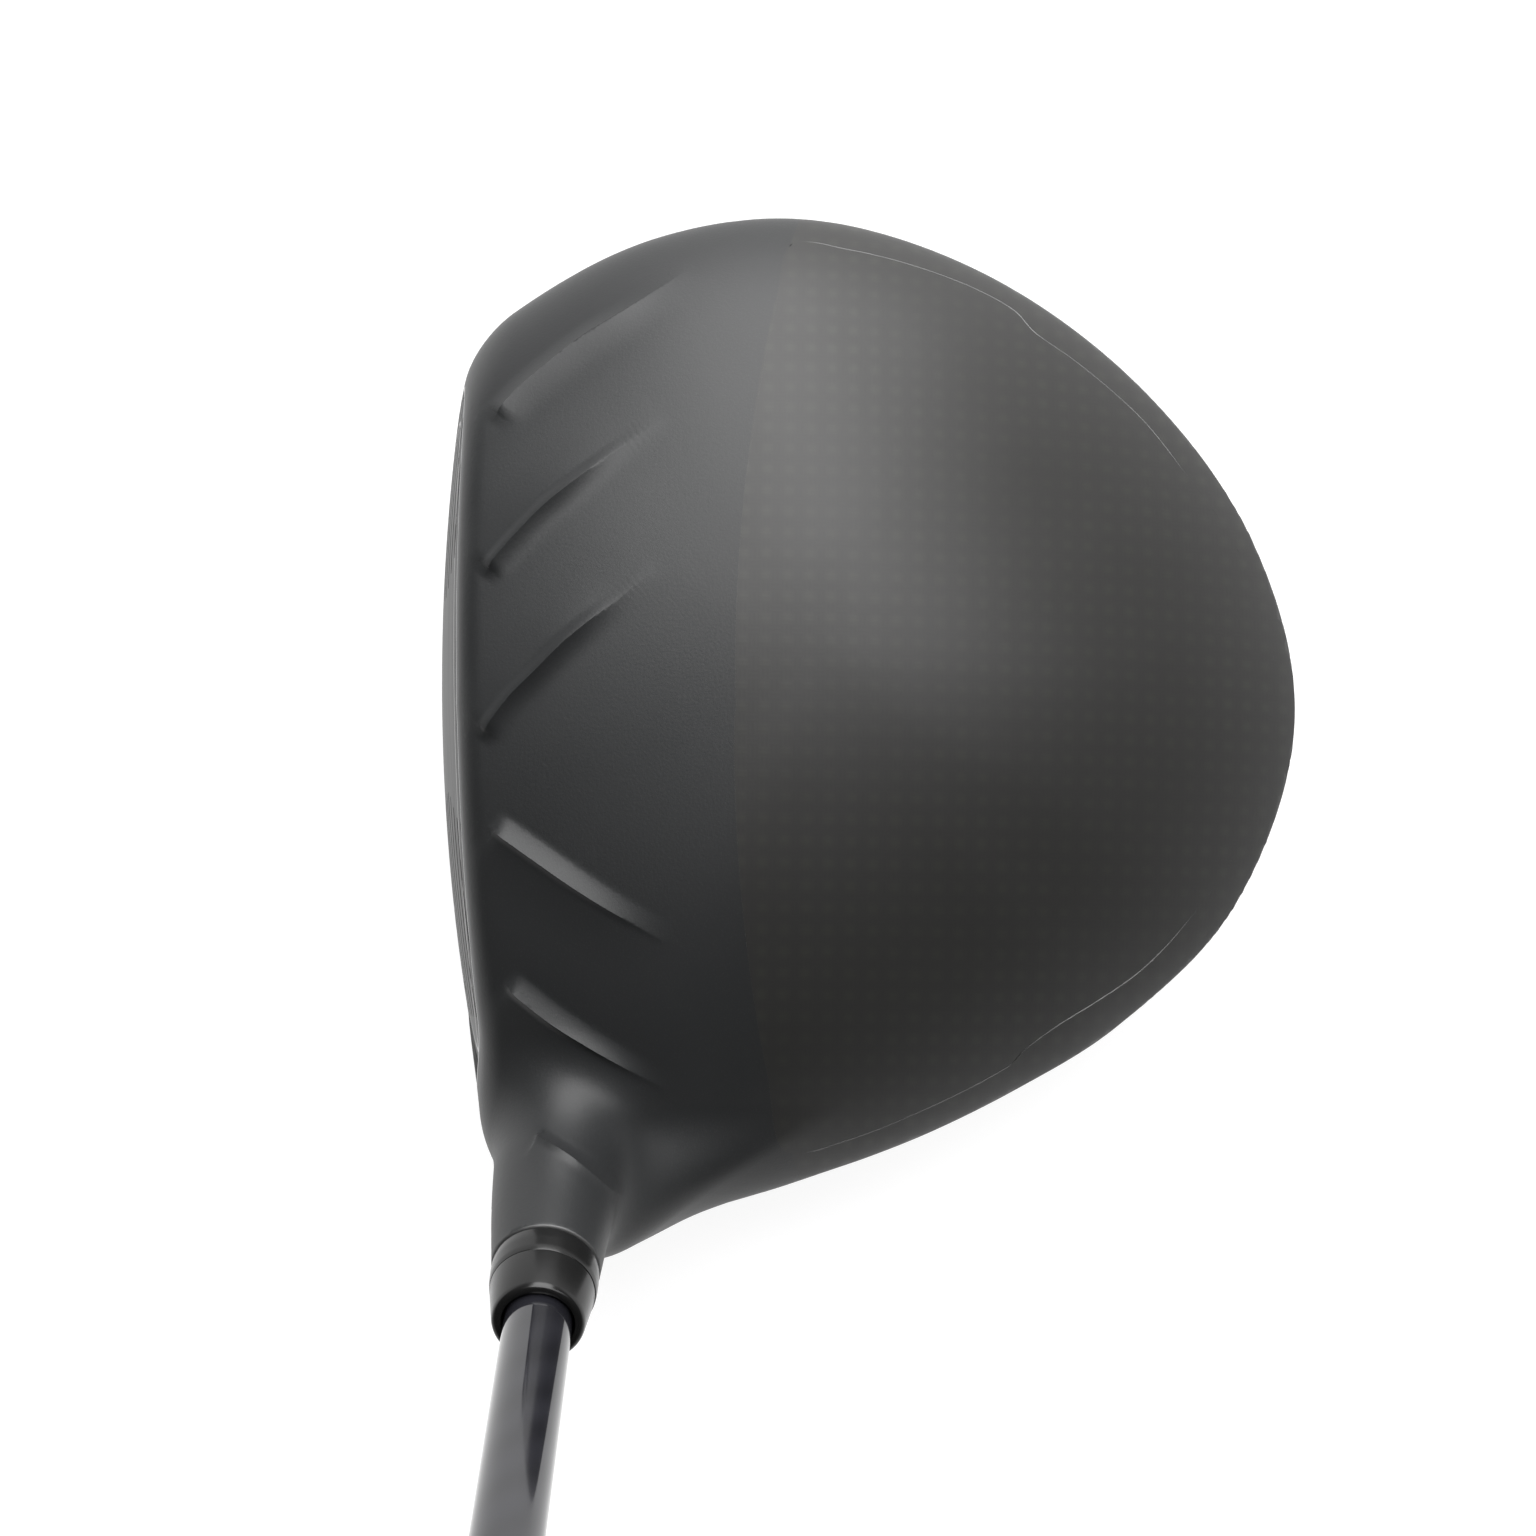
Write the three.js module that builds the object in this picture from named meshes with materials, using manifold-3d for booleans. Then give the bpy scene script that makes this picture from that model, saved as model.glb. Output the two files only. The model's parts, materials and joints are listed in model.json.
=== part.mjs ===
// Adjustable golf driver for a right-handed player, in millimetres, +Z up.
// The club stands at address: face towards -Y, toe towards -X, shaft rising towards +X.
// Head positions are written from the ground point below the face; the whole club is then
// moved so that the origin lies on the shaft axis at the middle of the grip.
import * as THREE from 'three';
import { mergeVertices } from 'three/addons/utils/BufferGeometryUtils.js';
import Module from 'manifold-3d';

const wasm = await Module();
wasm.setup();

// Gap left between touching pieces.
const GAP = 0.3;

// Head shell.
const WALL = 2.2;
const DOME_CENTRE = new THREE.Vector2(5, 52);
const EQUATOR_FRONT_Z = 33;
const EQUATOR_FALL = 0.085;
const CROWN_RISE = 29.5;
const OUTLINE = [
  [0, -22], [26, -21], [50, -10], [67, 2], [76, 14], [78.2, 24], [76.6, 35], [75.4, 47.5], [70.1, 63.8],
  [62, 80.5], [53.2, 94.4], [36.2, 110.9], [10, 119.4], [-15, 113.6], [-37, 97.5], [-53.2, 74.6],
  [-60.2, 50], [-57.2, 29], [-47, 10.2], [-27, -11],
];
const OUTLINE_STEPS = 64;
const CROWN_RINGS = 8;
const SOLE_RINGS = 6;

// Face.
const LOFT_DEG = 9.5;
const FACE_CENTRE_X = 8;
const FACE_CENTRE_Z = 28;
const BULGE_RADIUS = 305;
const ROLL_RADIUS = 330;
const FACE_TURN = 0.027;
const FACE_TURN_X = 24;
const FACE_FORWARD = 0.6;
const FACE_THICKNESS = 3;
const FACE_FRAME = 4.6;

// Crown panel and the ledge that carries it.
const PANEL_EDGE = 0.93;
const PANEL_THICKNESS = 1.5;
const LEDGE_WIDTH = 6;
const LEDGE_THICKNESS = 1.6;
const SEAM_MIDDLE_Y = 41;
const SEAM_BOW = 0.0018;

// Hosel. Stations along the hosel axis are measured from the ground.
const LIE_DEG = 58.5;
const HOSEL_GROUND_X = 44;
const HOSEL_Y = 17.9;
const HOSEL_RADIUS = 6.95;
const HOSEL_TOP = 76.6;
const HOSEL_BORE = 5.75;
const SEAT_TOP = 36;
const SEAT_BOTTOM = 33;
const PORT_BORE = 4.6;
const PORT_WALL = 1.9;
const FLARE_TOP = 62;
const FLARE_MIDDLE = 40;
const FLARE_DEPTH = 20;
const FLARE_GROWTH = 8;

// Adapter and shaft.
const CANT_DEG = 0.75;
const CANT_STATION = 62;
const SLEEVE_RADIUS = 5.45;
const SLEEVE_BOTTOM = 37.5;
const FLANGE_STATION = 81.4;
const FLANGE_HEIGHT = 0.6;
const FERRULE_TOP = 88;
const TIP_RADIUS = 4.3;
const BUTT_RADIUS = 7.62;
const TIP_STATION = 48.3;
const TIP_PARALLEL_END = 124;
const TAPER_END = 1010;
const SHAFT_END = 1150;
const CLUB_LENGTH = 1156;
const GRIP_LENGTH = 267;
const GRIP_TAPE = 0.5;
const GRIP_POINT = CLUB_LENGTH - GRIP_LENGTH / 2;

// Screw that holds the sleeve.
const SCREW_RADIUS = 2.3;
const SCREW_HEAD_RADIUS = 3.9;
const SCREW_HEAD_TOP = 31.7;
const SCREW_HEAD_HEIGHT = 5;

// Rear weight in its curved track, about a vertical axis.
const TRACK_X = 10;
const TRACK_Y = 70.5;
const TRACK_INNER = 35.4;
const TRACK_OUTER = 60;
const TRACK_HALF_ANGLE = 32;
const TRACK_ROOF_Z = 19.8;
const TRACK_WALL = 1.8;
const WEIGHT_HALF_ANGLE = 15;
const WEIGHT_OUTER = 47.2;
const WEIGHT_SCREW_R = 41;
const SLOT_HALF_WIDTH = 2.4;
const NUT_TOP_Z = 23.6;
const PAD_THICKNESS = 0.6;
const WEIGHT_PROUD = 3.4;
const WEB_THICKNESS = 1.4;
const WEIGHT_TOP_Z = TRACK_ROOF_Z - PAD_THICKNESS - 2 * GAP;

// Sole badge.
const BADGE_X = 5;
const BADGE_Y = 58;
const BADGE_RADIUS = 14;

const ROUND = 32;

// ---------------------------------------------------------------- helpers

function solidOf(geometry) {
  const bare = new THREE.BufferGeometry();
  bare.setAttribute('position', geometry.getAttribute('position').clone());
  if (geometry.index) {
    bare.setIndex(geometry.index.clone());
  }
  const merged = mergeVertices(bare, 1e-4);
  return new wasm.Manifold(new wasm.Mesh({
    numProp: 3,
    vertProperties: new Float32Array(merged.getAttribute('position').array),
    triVerts: new Uint32Array(merged.index.array),
  }));
}

function geometryOf(solid) {
  const mesh = solid.getMesh();
  const geometry = new THREE.BufferGeometry();
  geometry.setAttribute('position', new THREE.BufferAttribute(new Float32Array(mesh.vertProperties), 3));
  geometry.setIndex(new THREE.BufferAttribute(new Uint32Array(mesh.triVerts), 1));
  geometry.computeVertexNormals();
  return geometry;
}

function lathe(profile, sides = ROUND) {
  const points = profile.map(([r, z]) => new THREE.Vector2(r, z));
  const geometry = new THREE.LatheGeometry(points, sides);
  geometry.rotateX(Math.PI / 2);
  return geometry;
}

// Ring or tube: [inner radius, outer radius] between two stations.
function tube(inner, outer, low, high, sides = ROUND) {
  return lathe([[inner, high], [inner, low], [outer, low], [outer, high], [inner, high]], sides);
}

function rod(radius, low, high, sides = ROUND) {
  return lathe([[0, low], [radius, low], [radius, high], [0, high]], sides);
}

// A plan outline raised between two heights.
function prism(points, low, high) {
  const shape = new THREE.Shape(points.map(([x, y]) => new THREE.Vector2(x, y)));
  const geometry = new THREE.ExtrudeGeometry(shape, { depth: high - low, bevelEnabled: false });
  geometry.translate(0, 0, low);
  return geometry;
}

// Part of a flat ring in plan, centred on the track axis and on the +Y direction.
function arcPrism(inner, outer, halfAngle, low, high, steps = 16) {
  const points = [];
  for (let i = 0; i <= steps; i += 1) {
    const a = THREE.MathUtils.degToRad(-halfAngle + (2 * halfAngle * i) / steps);
    points.push([TRACK_X + outer * Math.sin(a), TRACK_Y + outer * Math.cos(a)]);
  }
  for (let i = steps; i >= 0; i -= 1) {
    const a = THREE.MathUtils.degToRad(-halfAngle + (2 * halfAngle * i) / steps);
    points.push([TRACK_X + inner * Math.sin(a), TRACK_Y + inner * Math.cos(a)]);
  }
  return prism(points, low, high);
}

// Six-lobed driver recess for a screw head.
function lobedRecess(radius, low, high) {
  const points = [];
  const lobes = 6;
  const perLobe = 4;
  for (let i = 0; i < lobes * perLobe; i += 1) {
    const a = (2 * Math.PI * i) / (lobes * perLobe);
    const r = radius * (1 + 0.14 * Math.cos(lobes * a));
    points.push([r * Math.cos(a), r * Math.sin(a)]);
  }
  return prism(points, low, high);
}

function placeOnHosel(geometry) {
  geometry.rotateY(THREE.MathUtils.degToRad(90 - LIE_DEG));
  geometry.translate(HOSEL_GROUND_X, HOSEL_Y, 0);
  return geometry;
}

// ---------------------------------------------------------------- head surface

const outlineCurve = new THREE.CatmullRomCurve3(
  OUTLINE.map(([x, y]) => new THREE.Vector3(x, y, 0)), true, 'centripetal',
);

function equatorZ(y) {
  return EQUATOR_FRONT_Z - EQUATOR_FALL * y;
}

// Height of the sole before its rim is rounded: flat below the face, rising to the rear and sides.
function keelZ(x, y) {
  const back = (y - 35) / 83;
  const front = (y - 35) / 60;
  const across = x - DOME_CENTRE.x;
  const lengthwise = y > 35 ? 14 * back * back : 2 * front * front;
  return lengthwise + 0.0015 * across * across;
}

function crownHeight(rho, forward, inset) {
  const power = 0.7 + 0.18 * forward + 0.04 * forward * forward;
  return (CROWN_RISE - inset) * Math.pow(Math.max(1 - rho * rho, 0), power);
}

function soleShape(rho, forward) {
  const power = 0.55 + 0.12 * forward - 0.18 * forward * forward;
  return Math.pow(Math.max(1 - rho * rho, 0), power);
}

// Closed dome and sole body, its skin moved inwards by inset.
function domeSolid(inset, steps = OUTLINE_STEPS, crownRings = CROWN_RINGS, soleRings = SOLE_RINGS) {
  const positions = [];
  const index = [];
  const total = crownRings + soleRings;
  const centreTop = equatorZ(DOME_CENTRE.y) + CROWN_RISE - inset;
  const centreBottom = keelZ(DOME_CENTRE.x, DOME_CENTRE.y) + inset;
  positions.push(DOME_CENTRE.x, DOME_CENTRE.y, centreTop);
  for (let ring = 1; ring < total; ring += 1) {
    for (let i = 0; i < steps; i += 1) {
      const rim = outlineCurve.getPoint(i / steps);
      const dx = rim.x - DOME_CENTRE.x;
      const dy = rim.y - DOME_CENTRE.y;
      const reach = Math.hypot(dx, dy);
      const onCrown = ring <= crownRings;
      const part = onCrown ? ring / crownRings : (total - ring) / soleRings;
      const rho = Math.sin((part * Math.PI) / 2);
      const radius = (rho * (reach - inset)) / reach;
      const x = DOME_CENTRE.x + dx * radius;
      const y = DOME_CENTRE.y + dy * radius;
      const middle = equatorZ(y);
      const forward = dy / reach;
      const up = crownHeight(rho, forward, inset);
      const down = (middle - keelZ(x, y) - inset) * soleShape(rho, forward);
      positions.push(x, y, onCrown ? middle + up : middle - down);
    }
  }
  positions.push(DOME_CENTRE.x, DOME_CENTRE.y, centreBottom);
  const last = positions.length / 3 - 1;
  for (let i = 0; i < steps; i += 1) {
    const next = (i + 1) % steps;
    index.push(0, 1 + i, 1 + next);
    for (let ring = 1; ring < total - 1; ring += 1) {
      const a = 1 + (ring - 1) * steps + i;
      const b = 1 + (ring - 1) * steps + next;
      index.push(a, a + steps, b + steps);
      index.push(a, b + steps, b);
    }
    const base = 1 + (total - 2) * steps;
    index.push(base + i, last, base + next);
  }
  const geometry = new THREE.BufferGeometry();
  geometry.setAttribute('position', new THREE.Float32BufferAttribute(positions, 3));
  geometry.setIndex(index);
  return solidOf(geometry);
}

function faceY(x, z) {
  const fromCentre = z - FACE_CENTRE_Z;
  const across = x - FACE_CENTRE_X;
  return fromCentre * Math.tan(THREE.MathUtils.degToRad(LOFT_DEG))
    + (across * across) / (2 * BULGE_RADIUS)
    + (fromCentre * fromCentre) / (2 * ROLL_RADIUS)
    + FACE_TURN * (x - FACE_TURN_X) - FACE_FORWARD;
}

// Everything behind the face surface moved back by depth, as one block.
function behindFace(depth, farY = 140) {
  const columns = 14;
  const rows = 8;
  const size = (columns + 1) * (rows + 1);
  const positions = [];
  const index = [];
  for (const front of [true, false]) {
    for (let j = 0; j <= rows; j += 1) {
      for (let i = 0; i <= columns; i += 1) {
        const x = -75 + (180 * i) / columns;
        const z = -10 + (90 * j) / rows;
        positions.push(x, front ? faceY(x, z) + depth : farY, z);
      }
    }
  }
  const quad = (a, b, c, d) => index.push(a, b, c, a, c, d);
  for (let j = 0; j < rows; j += 1) {
    for (let i = 0; i < columns; i += 1) {
      const a = j * (columns + 1) + i;
      quad(a, a + 1, a + columns + 2, a + columns + 1);
      const b = a + size;
      quad(b, b + columns + 1, b + columns + 2, b + 1);
    }
  }
  for (let i = 0; i < columns; i += 1) {
    const top = rows * (columns + 1) + i;
    quad(i, i + size, i + size + 1, i + 1);
    quad(top, top + 1, top + size + 1, top + size);
  }
  for (let j = 0; j < rows; j += 1) {
    const left = j * (columns + 1);
    const right = left + columns;
    quad(left, left + columns + 1, left + columns + 1 + size, left + size);
    quad(right, right + size, right + columns + 1 + size, right + columns + 1);
  }
  const geometry = new THREE.BufferGeometry();
  geometry.setAttribute('position', new THREE.Float32BufferAttribute(positions, 3));
  geometry.setIndex(index);
  return solidOf(geometry);
}

function seamY(x) {
  const across = x - DOME_CENTRE.x;
  return SEAM_MIDDLE_Y + SEAM_BOW * across * across;
}

// Plan region of the crown panel, grown outwards by margin.
function panelRegion(margin) {
  const steps = 96;
  const rear = [];
  for (let i = 0; i < steps; i += 1) {
    const rim = outlineCurve.getPoint(i / steps);
    const dx = rim.x - DOME_CENTRE.x;
    const dy = rim.y - DOME_CENTRE.y;
    const reach = Math.hypot(dx, dy);
    const scale = PANEL_EDGE + margin / reach;
    const x = DOME_CENTRE.x + dx * scale;
    const y = DOME_CENTRE.y + dy * scale;
    if (y > seamY(x) - margin + 0.8) {
      rear.push([x, y]);
    }
  }
  const first = rear[0];
  const last = rear[rear.length - 1];
  const front = [];
  const seamSteps = 12;
  for (let i = 0; i <= seamSteps; i += 1) {
    const x = last[0] + ((first[0] - last[0]) * i) / seamSteps;
    front.push([x, seamY(x) - margin]);
  }
  return solidOf(prism([...rear, ...front], 5, 75)).intersect(aboveEquator());
}

// Block above the sloping equator plane.
function aboveEquator() {
  const geometry = new THREE.BoxGeometry(220, 260, 80);
  geometry.translate(0, 0, 40.6);
  geometry.rotateX(-Math.atan(EQUATOR_FALL));
  geometry.translate(0, 0, EQUATOR_FRONT_Z);
  return solidOf(geometry);
}

// Crown height above a plan point, found from the outline in that direction.
function crownZ(x, y) {
  const dx = x - DOME_CENTRE.x;
  const dy = y - DOME_CENTRE.y;
  const distance = Math.max(Math.hypot(dx, dy), 1e-6);
  let best = Infinity;
  let reach = 1;
  for (let i = 0; i < 720; i += 1) {
    const rim = outlineCurve.getPoint(i / 720);
    const rx = rim.x - DOME_CENTRE.x;
    const ry = rim.y - DOME_CENTRE.y;
    const r = Math.hypot(rx, ry);
    const off = 1 - (rx * dx + ry * dy) / (r * distance);
    if (off < best) {
      best = off;
      reach = r;
    }
  }
  return equatorZ(y) + crownHeight(distance / reach, dy / distance, 0);
}

// Raised ridges on the front crown: start and end in plan, height at the start.
const RIDGES = [
  { from: [-29.3, 9.4], to: [-50, 33], side: -1, height: 1.5, width: 6 },
  { from: [-7.8, 9], to: [-28.5, 32], side: -1, height: 1.6, width: 6.5 },
  { from: [14.2, 9.2], to: [-6, 29.5], side: -1, height: 1.6, width: 6.5 },
  { from: [27.3, 10.3], to: [41.5, 31], side: 1, height: 1.6, width: 6.5 },
  { from: [47.9, 12.2], to: [62.5, 33], side: 1, height: 1.5, width: 6 },
];

// One ridge: a steep flank towards the middle of the head and a long flank outwards.
function ridgeSolid({ from, to, side, height, width }) {
  const steps = 8;
  const sunk = 0.6;
  const dir = new THREE.Vector2(to[0] - from[0], to[1] - from[1]);
  const across = new THREE.Vector2(dir.y, -dir.x).normalize();
  if (across.x * side < 0) {
    across.negate();
  }
  const positions = [];
  const index = [];
  for (let i = 0; i <= steps; i += 1) {
    const t = i / steps;
    const grow = Math.sin(Math.PI * Math.min(t + 0.04, 0.5) / 0.5 / 2) * Math.pow(1 - t, 0.7) + 0.04;
    const x = from[0] + dir.x * t;
    const y = from[1] + dir.y * t;
    const outX = x + across.x * width * grow;
    const outY = y + across.y * width * grow;
    const inX = x - across.x * 1.1 * grow;
    const inY = y - across.y * 1.1 * grow;
    positions.push(inX, inY, crownZ(inX, inY) - 0.05);
    positions.push(x, y, crownZ(x, y) + height * grow);
    positions.push(outX, outY, crownZ(outX, outY) - 0.05);
    positions.push(outX, outY, crownZ(outX, outY) - sunk);
    positions.push(inX, inY, crownZ(inX, inY) - sunk);
  }
  const sides = 5;
  const flip = across.x * dir.y - across.y * dir.x < 0;
  const triangle = (a, b, c) => (flip ? index.push(a, b, c) : index.push(a, c, b));
  for (let i = 0; i < steps; i += 1) {
    for (let k = 0; k < sides; k += 1) {
      const a = i * sides + k;
      const b = i * sides + ((k + 1) % sides);
      triangle(a, a + sides, b + sides);
      triangle(a, b + sides, b);
    }
  }
  const end = steps * sides;
  for (let k = 1; k < sides - 1; k += 1) {
    triangle(0, k, k + 1);
    triangle(end, end + k + 1, end + k);
  }
  const geometry = new THREE.BufferGeometry();
  geometry.setAttribute('position', new THREE.Float32BufferAttribute(positions, 3));
  geometry.setIndex(index);
  return solidOf(geometry);
}

// ---------------------------------------------------------------- head pieces

const dome = domeSolid(0);
const face = behindFace(0);

// Outer skin of the hosel's root: an egg shape inside the heel that draws in to the barrel above.
function hoselFlare() {
  const profile = [];
  const steps = 6;
  const widest = HOSEL_RADIUS + FLARE_GROWTH;
  for (let i = 0; i < steps; i += 1) {
    const a = (Math.PI * i) / (2 * steps);
    profile.push([widest * Math.sin(a), FLARE_MIDDLE - FLARE_DEPTH * Math.cos(a)]);
  }
  for (let i = 0; i <= steps; i += 1) {
    const t = i / steps;
    profile.push([
      HOSEL_RADIUS - 0.01 + FLARE_GROWTH * (1 - t) ** 2 * (1 + 2 * t) * (1 - 0.35 * t),
      FLARE_MIDDLE + (FLARE_TOP - FLARE_MIDDLE) * t,
    ]);
  }
  profile.push([0, FLARE_TOP]);
  return solidOf(placeOnHosel(lathe(profile)));
}

function hoselBarrel() {
  return solidOf(placeOnHosel(rod(HOSEL_RADIUS, 30, HOSEL_TOP)));
}

function portTube() {
  return solidOf(placeOnHosel(rod(PORT_BORE + PORT_WALL, 2, 40))).intersect(dome);
}

function hoselBores() {
  const sleeveBore = solidOf(placeOnHosel(rod(HOSEL_BORE, SEAT_TOP, HOSEL_TOP + 5)));
  const screwHole = solidOf(placeOnHosel(rod(SCREW_RADIUS + 0.5, SEAT_BOTTOM - 1, SEAT_TOP + 1)));
  const port = solidOf(placeOnHosel(rod(PORT_BORE, -8, SEAT_BOTTOM)));
  return sleeveBore.add(screwHole).add(port);
}

// Roof and front wall of the rear track, on the inside of the shell.
function trackWalls() {
  const walls = solidOf(arcPrism(
    TRACK_INNER - TRACK_WALL, TRACK_OUTER, TRACK_HALF_ANGLE + 3, 6, TRACK_ROOF_Z + TRACK_WALL,
  ));
  return walls.intersect(dome);
}

function trackCuts() {
  const channel = solidOf(arcPrism(TRACK_INNER, TRACK_OUTER, TRACK_HALF_ANGLE, -2, TRACK_ROOF_Z));
  const slot = solidOf(arcPrism(
    WEIGHT_SCREW_R - SLOT_HALF_WIDTH, WEIGHT_SCREW_R + SLOT_HALF_WIDTH, 20.5,
    TRACK_ROOF_Z - 1, TRACK_ROOF_Z + TRACK_WALL + 1,
  ));
  return channel.add(slot);
}

function badgeCut() {
  const column = rod(BADGE_RADIUS + GAP, -5, 20);
  column.translate(BADGE_X, BADGE_Y, 0);
  return solidOf(column).subtract(domeSolid(1.3, 48, 6, 6));
}

function panelLedge() {
  const ring = domeSolid(PANEL_THICKNESS + GAP, 60, 8, 3)
    .subtract(domeSolid(PANEL_THICKNESS + GAP + LEDGE_THICKNESS, 60, 8, 3));
  return ring.intersect(panelRegion(1.2)).subtract(panelRegion(-LEDGE_WIDTH));
}

function bodyCasting() {
  const skin = dome.add(hoselFlare()).intersect(face);
  const hollow = domeSolid(WALL, 60, 8, 6).intersect(behindFace(WALL + 0.4));
  const windowCut = domeSolid(FACE_FRAME, 48, 6, 6).subtract(behindFace(FACE_THICKNESS + 2));
  let body = skin.subtract(hollow).subtract(windowCut);
  body = body.subtract(panelRegion(GAP));
  body = body.add(panelLedge());
  body = body.add(trackWalls().subtract(panelRegion(0)));
  body = body.add(portTube()).add(hoselBarrel());
  for (const ridge of RIDGES) {
    body = body.add(ridgeSolid(ridge));
  }
  return geometryOf(body.subtract(hoselBores()).subtract(trackCuts()).subtract(badgeCut()));
}

function facePlate() {
  const slab = face.subtract(behindFace(FACE_THICKNESS));
  return geometryOf(domeSolid(FACE_FRAME + GAP, 48, 6, 6).intersect(slab));
}

function crownPanel() {
  const shell = dome.subtract(domeSolid(PANEL_THICKNESS, 60, 8, 3));
  return geometryOf(shell.intersect(panelRegion(0)));
}

function soleBadge() {
  const column = rod(BADGE_RADIUS, -5, 20, 48);
  column.translate(BADGE_X, BADGE_Y, 0);
  return geometryOf(solidOf(column).intersect(dome).subtract(domeSolid(1, 48, 6, 6)));
}

function hoselScrew() {
  const headBottom = SCREW_HEAD_TOP - SCREW_HEAD_HEIGHT;
  const blank = lathe([
    [0, headBottom], [SCREW_HEAD_RADIUS - 0.5, headBottom], [SCREW_HEAD_RADIUS, headBottom + 0.5],
    [SCREW_HEAD_RADIUS, SCREW_HEAD_TOP], [SCREW_RADIUS, SCREW_HEAD_TOP], [SCREW_RADIUS, 43.4],
    [SCREW_RADIUS - 0.6, 44], [0, 44],
  ]);
  const recess = solidOf(lobedRecess(2.1, headBottom - 1, headBottom + 3));
  const geometry = geometryOf(solidOf(blank).subtract(recess));
  return placeOnHosel(geometry);
}

function screwWasher() {
  return placeOnHosel(tube(SCREW_RADIUS + 0.4, SCREW_HEAD_RADIUS, SCREW_HEAD_TOP + 0.25, SEAT_BOTTOM - 0.3));
}

function screwRetainer() {
  return placeOnHosel(tube(SCREW_RADIUS + 0.3, 4.6, SEAT_TOP + 0.3, SEAT_TOP + 1.2, 24));
}

// ---------------------------------------------------------------- adapter and shaft

function settingRing() {
  const low = HOSEL_TOP + 0.35;
  const high = FLANGE_STATION - 0.25;
  return placeOnHosel(lathe([
    [SLEEVE_RADIUS + GAP, low], [HOSEL_RADIUS - 0.35, low], [HOSEL_RADIUS - 0.15, low + 0.25],
    [6.6, high - 0.25], [6.4, high], [SLEEVE_RADIUS + GAP, high], [SLEEVE_RADIUS + GAP, low],
  ]));
}

// Direction and point of the shaft axis, canted in the sleeve.
function placeOnShaft(geometry) {
  geometry.translate(0, 0, -CANT_STATION);
  geometry.rotateY(THREE.MathUtils.degToRad(-CANT_DEG));
  geometry.translate(0, 0, CANT_STATION);
  return placeOnHosel(geometry);
}

function adapterSleeve() {
  const outer = solidOf(placeOnHosel(lathe([
    [0, SLEEVE_BOTTOM], [SLEEVE_RADIUS - 0.6, SLEEVE_BOTTOM], [SLEEVE_RADIUS, SLEEVE_BOTTOM + 0.6],
    [SLEEVE_RADIUS, FLANGE_STATION], [6.45, FLANGE_STATION], [6.45, FLANGE_STATION + FLANGE_HEIGHT],
    [0, FLANGE_STATION + FLANGE_HEIGHT],
  ])));
  const socket = solidOf(placeOnShaft(rod(TIP_RADIUS + GAP, TIP_STATION - GAP, 98)));
  const thread = solidOf(placeOnHosel(rod(SCREW_RADIUS + GAP, 30, 45.5)));
  return geometryOf(outer.subtract(socket).subtract(thread));
}

function ferrule() {
  const bore = TIP_RADIUS + GAP;
  const low = FLANGE_STATION + FLANGE_HEIGHT + 0.4;
  return placeOnShaft(lathe([
    [bore, low], [6.5, low], [6.4, low + 1.5], [6.1, low + 3], [5.7, FERRULE_TOP - 1],
    [5.5, FERRULE_TOP - 0.5], [5.1, FERRULE_TOP - 0.1], [bore, FERRULE_TOP], [bore, low],
  ]));
}

// Outer radius of the shaft at a station on its axis.
function shaftRadius(station) {
  const t = (station - TIP_PARALLEL_END) / (TAPER_END - TIP_PARALLEL_END);
  return TIP_RADIUS + (BUTT_RADIUS - TIP_RADIUS) * THREE.MathUtils.clamp(t, 0, 1);
}

function shaft() {
  const wall = 1.15;
  return placeOnShaft(lathe([
    [TIP_RADIUS - wall, TIP_STATION], [TIP_RADIUS - 0.3, TIP_STATION], [TIP_RADIUS, TIP_STATION + 0.3],
    [TIP_RADIUS, TIP_PARALLEL_END], [BUTT_RADIUS, TAPER_END], [BUTT_RADIUS, SHAFT_END],
    [BUTT_RADIUS - 0.9, SHAFT_END], [BUTT_RADIUS - 0.9, TAPER_END], [TIP_RADIUS - wall, TIP_PARALLEL_END],
    [TIP_RADIUS - wall, TIP_STATION],
  ]));
}

function tipPlug() {
  return placeOnShaft(rod(2.8, TIP_STATION + 1, TIP_STATION + 9, 24));
}

function gripTape() {
  const low = CLUB_LENGTH - GRIP_LENGTH + 4;
  const inner = (s) => shaftRadius(s) + GAP;
  const outer = (s) => shaftRadius(s) + GAP + GRIP_TAPE;
  return placeOnShaft(lathe([
    [inner(low), low], [outer(low), low], [outer(TAPER_END), TAPER_END], [outer(TAPER_END), SHAFT_END - 1],
    [inner(TAPER_END), SHAFT_END - 1], [inner(TAPER_END), TAPER_END], [inner(low), low],
  ]));
}

function grip() {
  const low = CLUB_LENGTH - GRIP_LENGTH;
  const high = CLUB_LENGTH - 4;
  const bore = (s) => shaftRadius(s) + 2 * GAP + GRIP_TAPE;
  return placeOnShaft(lathe([
    [bore(low), low], [bore(low) + 0.7, low], [9.1, low + 1.2], [9.6, low + 60], [10.6, low + 140],
    [12, low + 215], [13, low + 250], [13.6, high - 2], [13.6, high], [bore(TAPER_END), high],
    [bore(TAPER_END), TAPER_END], [bore(low), low],
  ]));
}

function gripEndCap() {
  const low = CLUB_LENGTH - 4 + GAP;
  return placeOnShaft(lathe([
    [1.3, low], [13.6, low], [13.6, low + 0.8], [12.9, CLUB_LENGTH - 0.8], [10.5, CLUB_LENGTH],
    [1.3, CLUB_LENGTH], [1.3, low],
  ]));
}

// ---------------------------------------------------------------- rear weight

function screwPoint() {
  return [TRACK_X, TRACK_Y + WEIGHT_SCREW_R];
}

function atWeightScrew(geometry) {
  const [x, y] = screwPoint();
  geometry.translate(x, y, 0);
  return geometry;
}

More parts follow.
